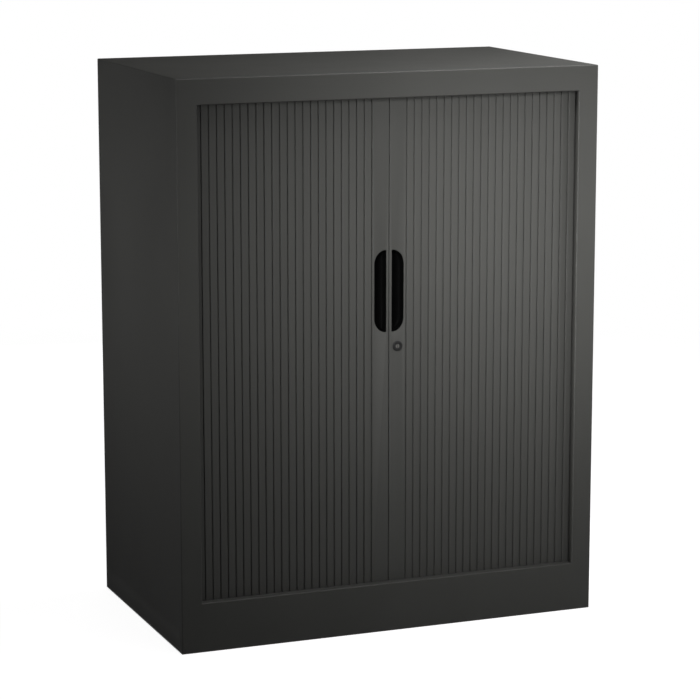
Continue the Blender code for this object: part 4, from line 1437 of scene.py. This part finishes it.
@dataclass
class Studio:
    """Pale floor, white background, soft boxes and grey cards that keep the satin sides dark."""

    floor_size: float = 14.0
    floor_glow: float = 0.93
    near: float = 0.5
    far: float = 3.0
    room_light: float = 0.0
    paint_scale: float = 3.0
    paint_low: float = 0.79
    paint_high: float = 0.81
    floor_steps: int = 8
    cards: tuple[Card, ...] = (
        Card("floor_card", (-2.6, -3.6, 0.003), (5.2, 0.0, 0.0), (0.0, 6.6, 0.0), 0.09),
        Card("left_card", (-2.6, -1.5, 0.0), (0.0, 4.5, 0.0), (0.0, 0.0, 3.4), 0.01),
        Card("back_card", (-2.6, 3.0, 0.0), (5.2, 0.0, 0.0), (0.0, 0.0, 3.4), 0.01),
        Card("ceiling_card", (-2.6, -0.6, 3.4), (5.2, 0.0, 0.0), (0.0, 3.6, 0.0), 0.01),
    )
    lamps: tuple[SoftBox, ...] = (
        SoftBox("front_comb", (-1.2, -1.8, 0.9), (0.38, -0.235, 0.585), (0.6, 0.6), 1.63, 36.0),
        SoftBox("tall_comb", (-0.8, -1.9, 1.6), (0.27, -0.235, 0.83), (0.4, 0.4), 0.56, 26.0),
        SoftBox("slant_comb", (-1.8, -1.4, 1.0), (0.42, -0.235, 0.70), (0.4, 0.4), 0.32, 22.0),
        SoftBox("right_comb", (1.8, -1.2, 1.3), (0.30, -0.235, 0.75), (0.5, 0.5), 0.67, 34.0),
        SoftBox("strip_over", (0.4, -0.45, 2.2), (0.3, -0.25, 0.5), (0.8, 0.3), 1.04, 60.0),
        SoftBox("strip_left", (-0.2, -0.9, 2.4), (-0.1, -0.25, 0.8), (0.8, 0.4), 4.05),
        SoftBox("top_box", (0.6, 0.1, 1.9), (0.2, 0.0, 1.0), (0.6, 0.6), 6.54),
        SoftBox("side_comb", (-1.6, 0.5, 0.9), (-0.4, 0.1, 0.72), (0.6, 0.6), 0.60, 50.0),
        SoftBox("rear_comb", (-2.4, 1.2, 1.4), (-0.4, 0.1, 0.8), (0.8, 0.8), 0.50, 50.0),
        SoftBox("rear_fill", (0.6, 2.6, 0.5), (0.0, 0.2, 0.5), (1.6, 0.9), 12.0),
        SoftBox("right_fill", (2.6, 0.8, 0.5), (0.4, 0.1, 0.5), (1.0, 0.9), 4.0),
    )

    def background(self, recipe: Recipe, plain: Wire, lit: Wire) -> Wire:
        """Shader that looks different to the rays that show it and to those that light from it.

        Args:
            recipe: Tree that it stands in.
            plain: Shader for the other rays.
            lit: Shader for camera, glossy and transmission rays.

        Returns:
            The mixed shader.
        """
        names = ("Is Camera Ray", "Is Glossy Ray", "Is Transmission Ray")
        rays = [recipe.node("ShaderNodeLightPath", output=name) for name in names]
        seen = (rays[0] + rays[1] + rays[2]).between(0.0, 1.0)
        return recipe.node("ShaderNodeMixShader", inputs={0: seen, 1: plain, 2: lit})

    def sky(self) -> None:
        """World: white where it is seen, and the room's own light, none here, for all other rays."""
        world = bpy.data.worlds.new("studio")
        world.use_nodes = True
        recipe = Recipe(world.node_tree)
        plain = recipe.node("ShaderNodeBackground", inputs={"Strength": self.room_light})
        white = recipe.node("ShaderNodeBackground", inputs={"Color": (1, 1, 1, 1), "Strength": 1.0})
        recipe.show(self.background(recipe, plain, white), "World Output")
        bpy.context.scene.world = world

    def floor(self) -> None:
        """Pale floor that glows almost white where it is seen, so that a faint shadow stays.

        The glow rises to white from near to far of the cabinet's middle, so that no horizon shows.
        """
        recipe = Paint("studio_floor")
        spot = recipe.place()
        cloud = recipe.noise(spot, self.paint_scale)
        paint = recipe.tint(cloud, (self.paint_low,) * 3, (self.paint_high,) * 3)
        matt = recipe.node("ShaderNodeBsdfDiffuse", inputs={"Color": paint})
        reach = recipe.node("ShaderNodeVectorMath", {"operation": "LENGTH"}, {0: spot}, "Value")
        glow = recipe.node("ShaderNodeEmission", inputs={"Strength": self.floor_glow})
        white = recipe.node("ShaderNodeEmission", inputs={"Strength": 1.0})
        lit = recipe.node("ShaderNodeAddShader", inputs={0: matt, 1: glow})
        share = reach.between(self.near, self.far)
        pale = recipe.node("ShaderNodeMixShader", inputs={0: share, 1: lit, 2: white})
        recipe.show(self.background(recipe, matt, pale))
        size, half = self.floor_size, self.floor_size / 2
        spots = flat_grid((-half, -half, 0.0), (size, 0.0, 0.0), (0.0, size, 0.0), self.floor_steps)
        mesh = Skin().grid(spots).mesh("studio_floor")
        if mesh.polygons[0].normal.z < 0:
            mesh.flip_normals()
        staged(mesh, recipe.material)

    def build(self) -> None:
        """Makes the floor, the world and the lamps."""
        self.floor()
        self.sky()
        for fitting in self.cards + self.lamps:
            fitting.build()


@dataclass
class Viewpoint:
    """Camera fitted to the visible corners of the cabinet, for a square frame of 700 pixels."""

    focal_pixels: float = 2646.2
    frame_pixels: int = 700
    sensor: float = 36.0
    place: Point = (-1.781, -4.512, 1.411)
    yaw: float = math.radians(21.665)
    pitch: float = math.radians(-10.877)
    reach: float = 100.0

    def build(self) -> None:
        """Makes the camera."""
        data = bpy.data.cameras.new("viewpoint")
        data.sensor_width = self.sensor
        data.lens = self.focal_pixels / self.frame_pixels * self.sensor
        data.clip_end = self.reach
        level = math.cos(self.pitch)
        ahead = (math.sin(self.yaw) * level, math.cos(self.yaw) * level, math.sin(self.pitch))
        obj = in_scene("viewpoint", data)
        aim(obj, self.place, Vector(ahead))
        bpy.context.scene.camera = obj


def main() -> None:
    """Builds the studio and the cabinet, piece by piece."""
    logging.basicConfig(level=logging.INFO, format="%(message)s")
    bpy.context.scene.view_settings.view_transform = "Standard"
    Viewpoint().build()
    Studio().build()
    finishes = Finishes()
    Shell(finishes).build()
    lock = Lock(finishes)
    for side in Side:
        curtain = Curtain(finishes, side)
        curtain.build()
        cup = HandleCup(finishes, side)
        cup.build()
        LeadingStile(finishes, curtain, cup, lock if side is Side.RIGHT else None).build()
        for rear in (False, True):
            LevellingFoot(finishes, side, rear).build()
    lock.build()
    Inside(finishes).build()


if __name__ == "__main__":
    main()
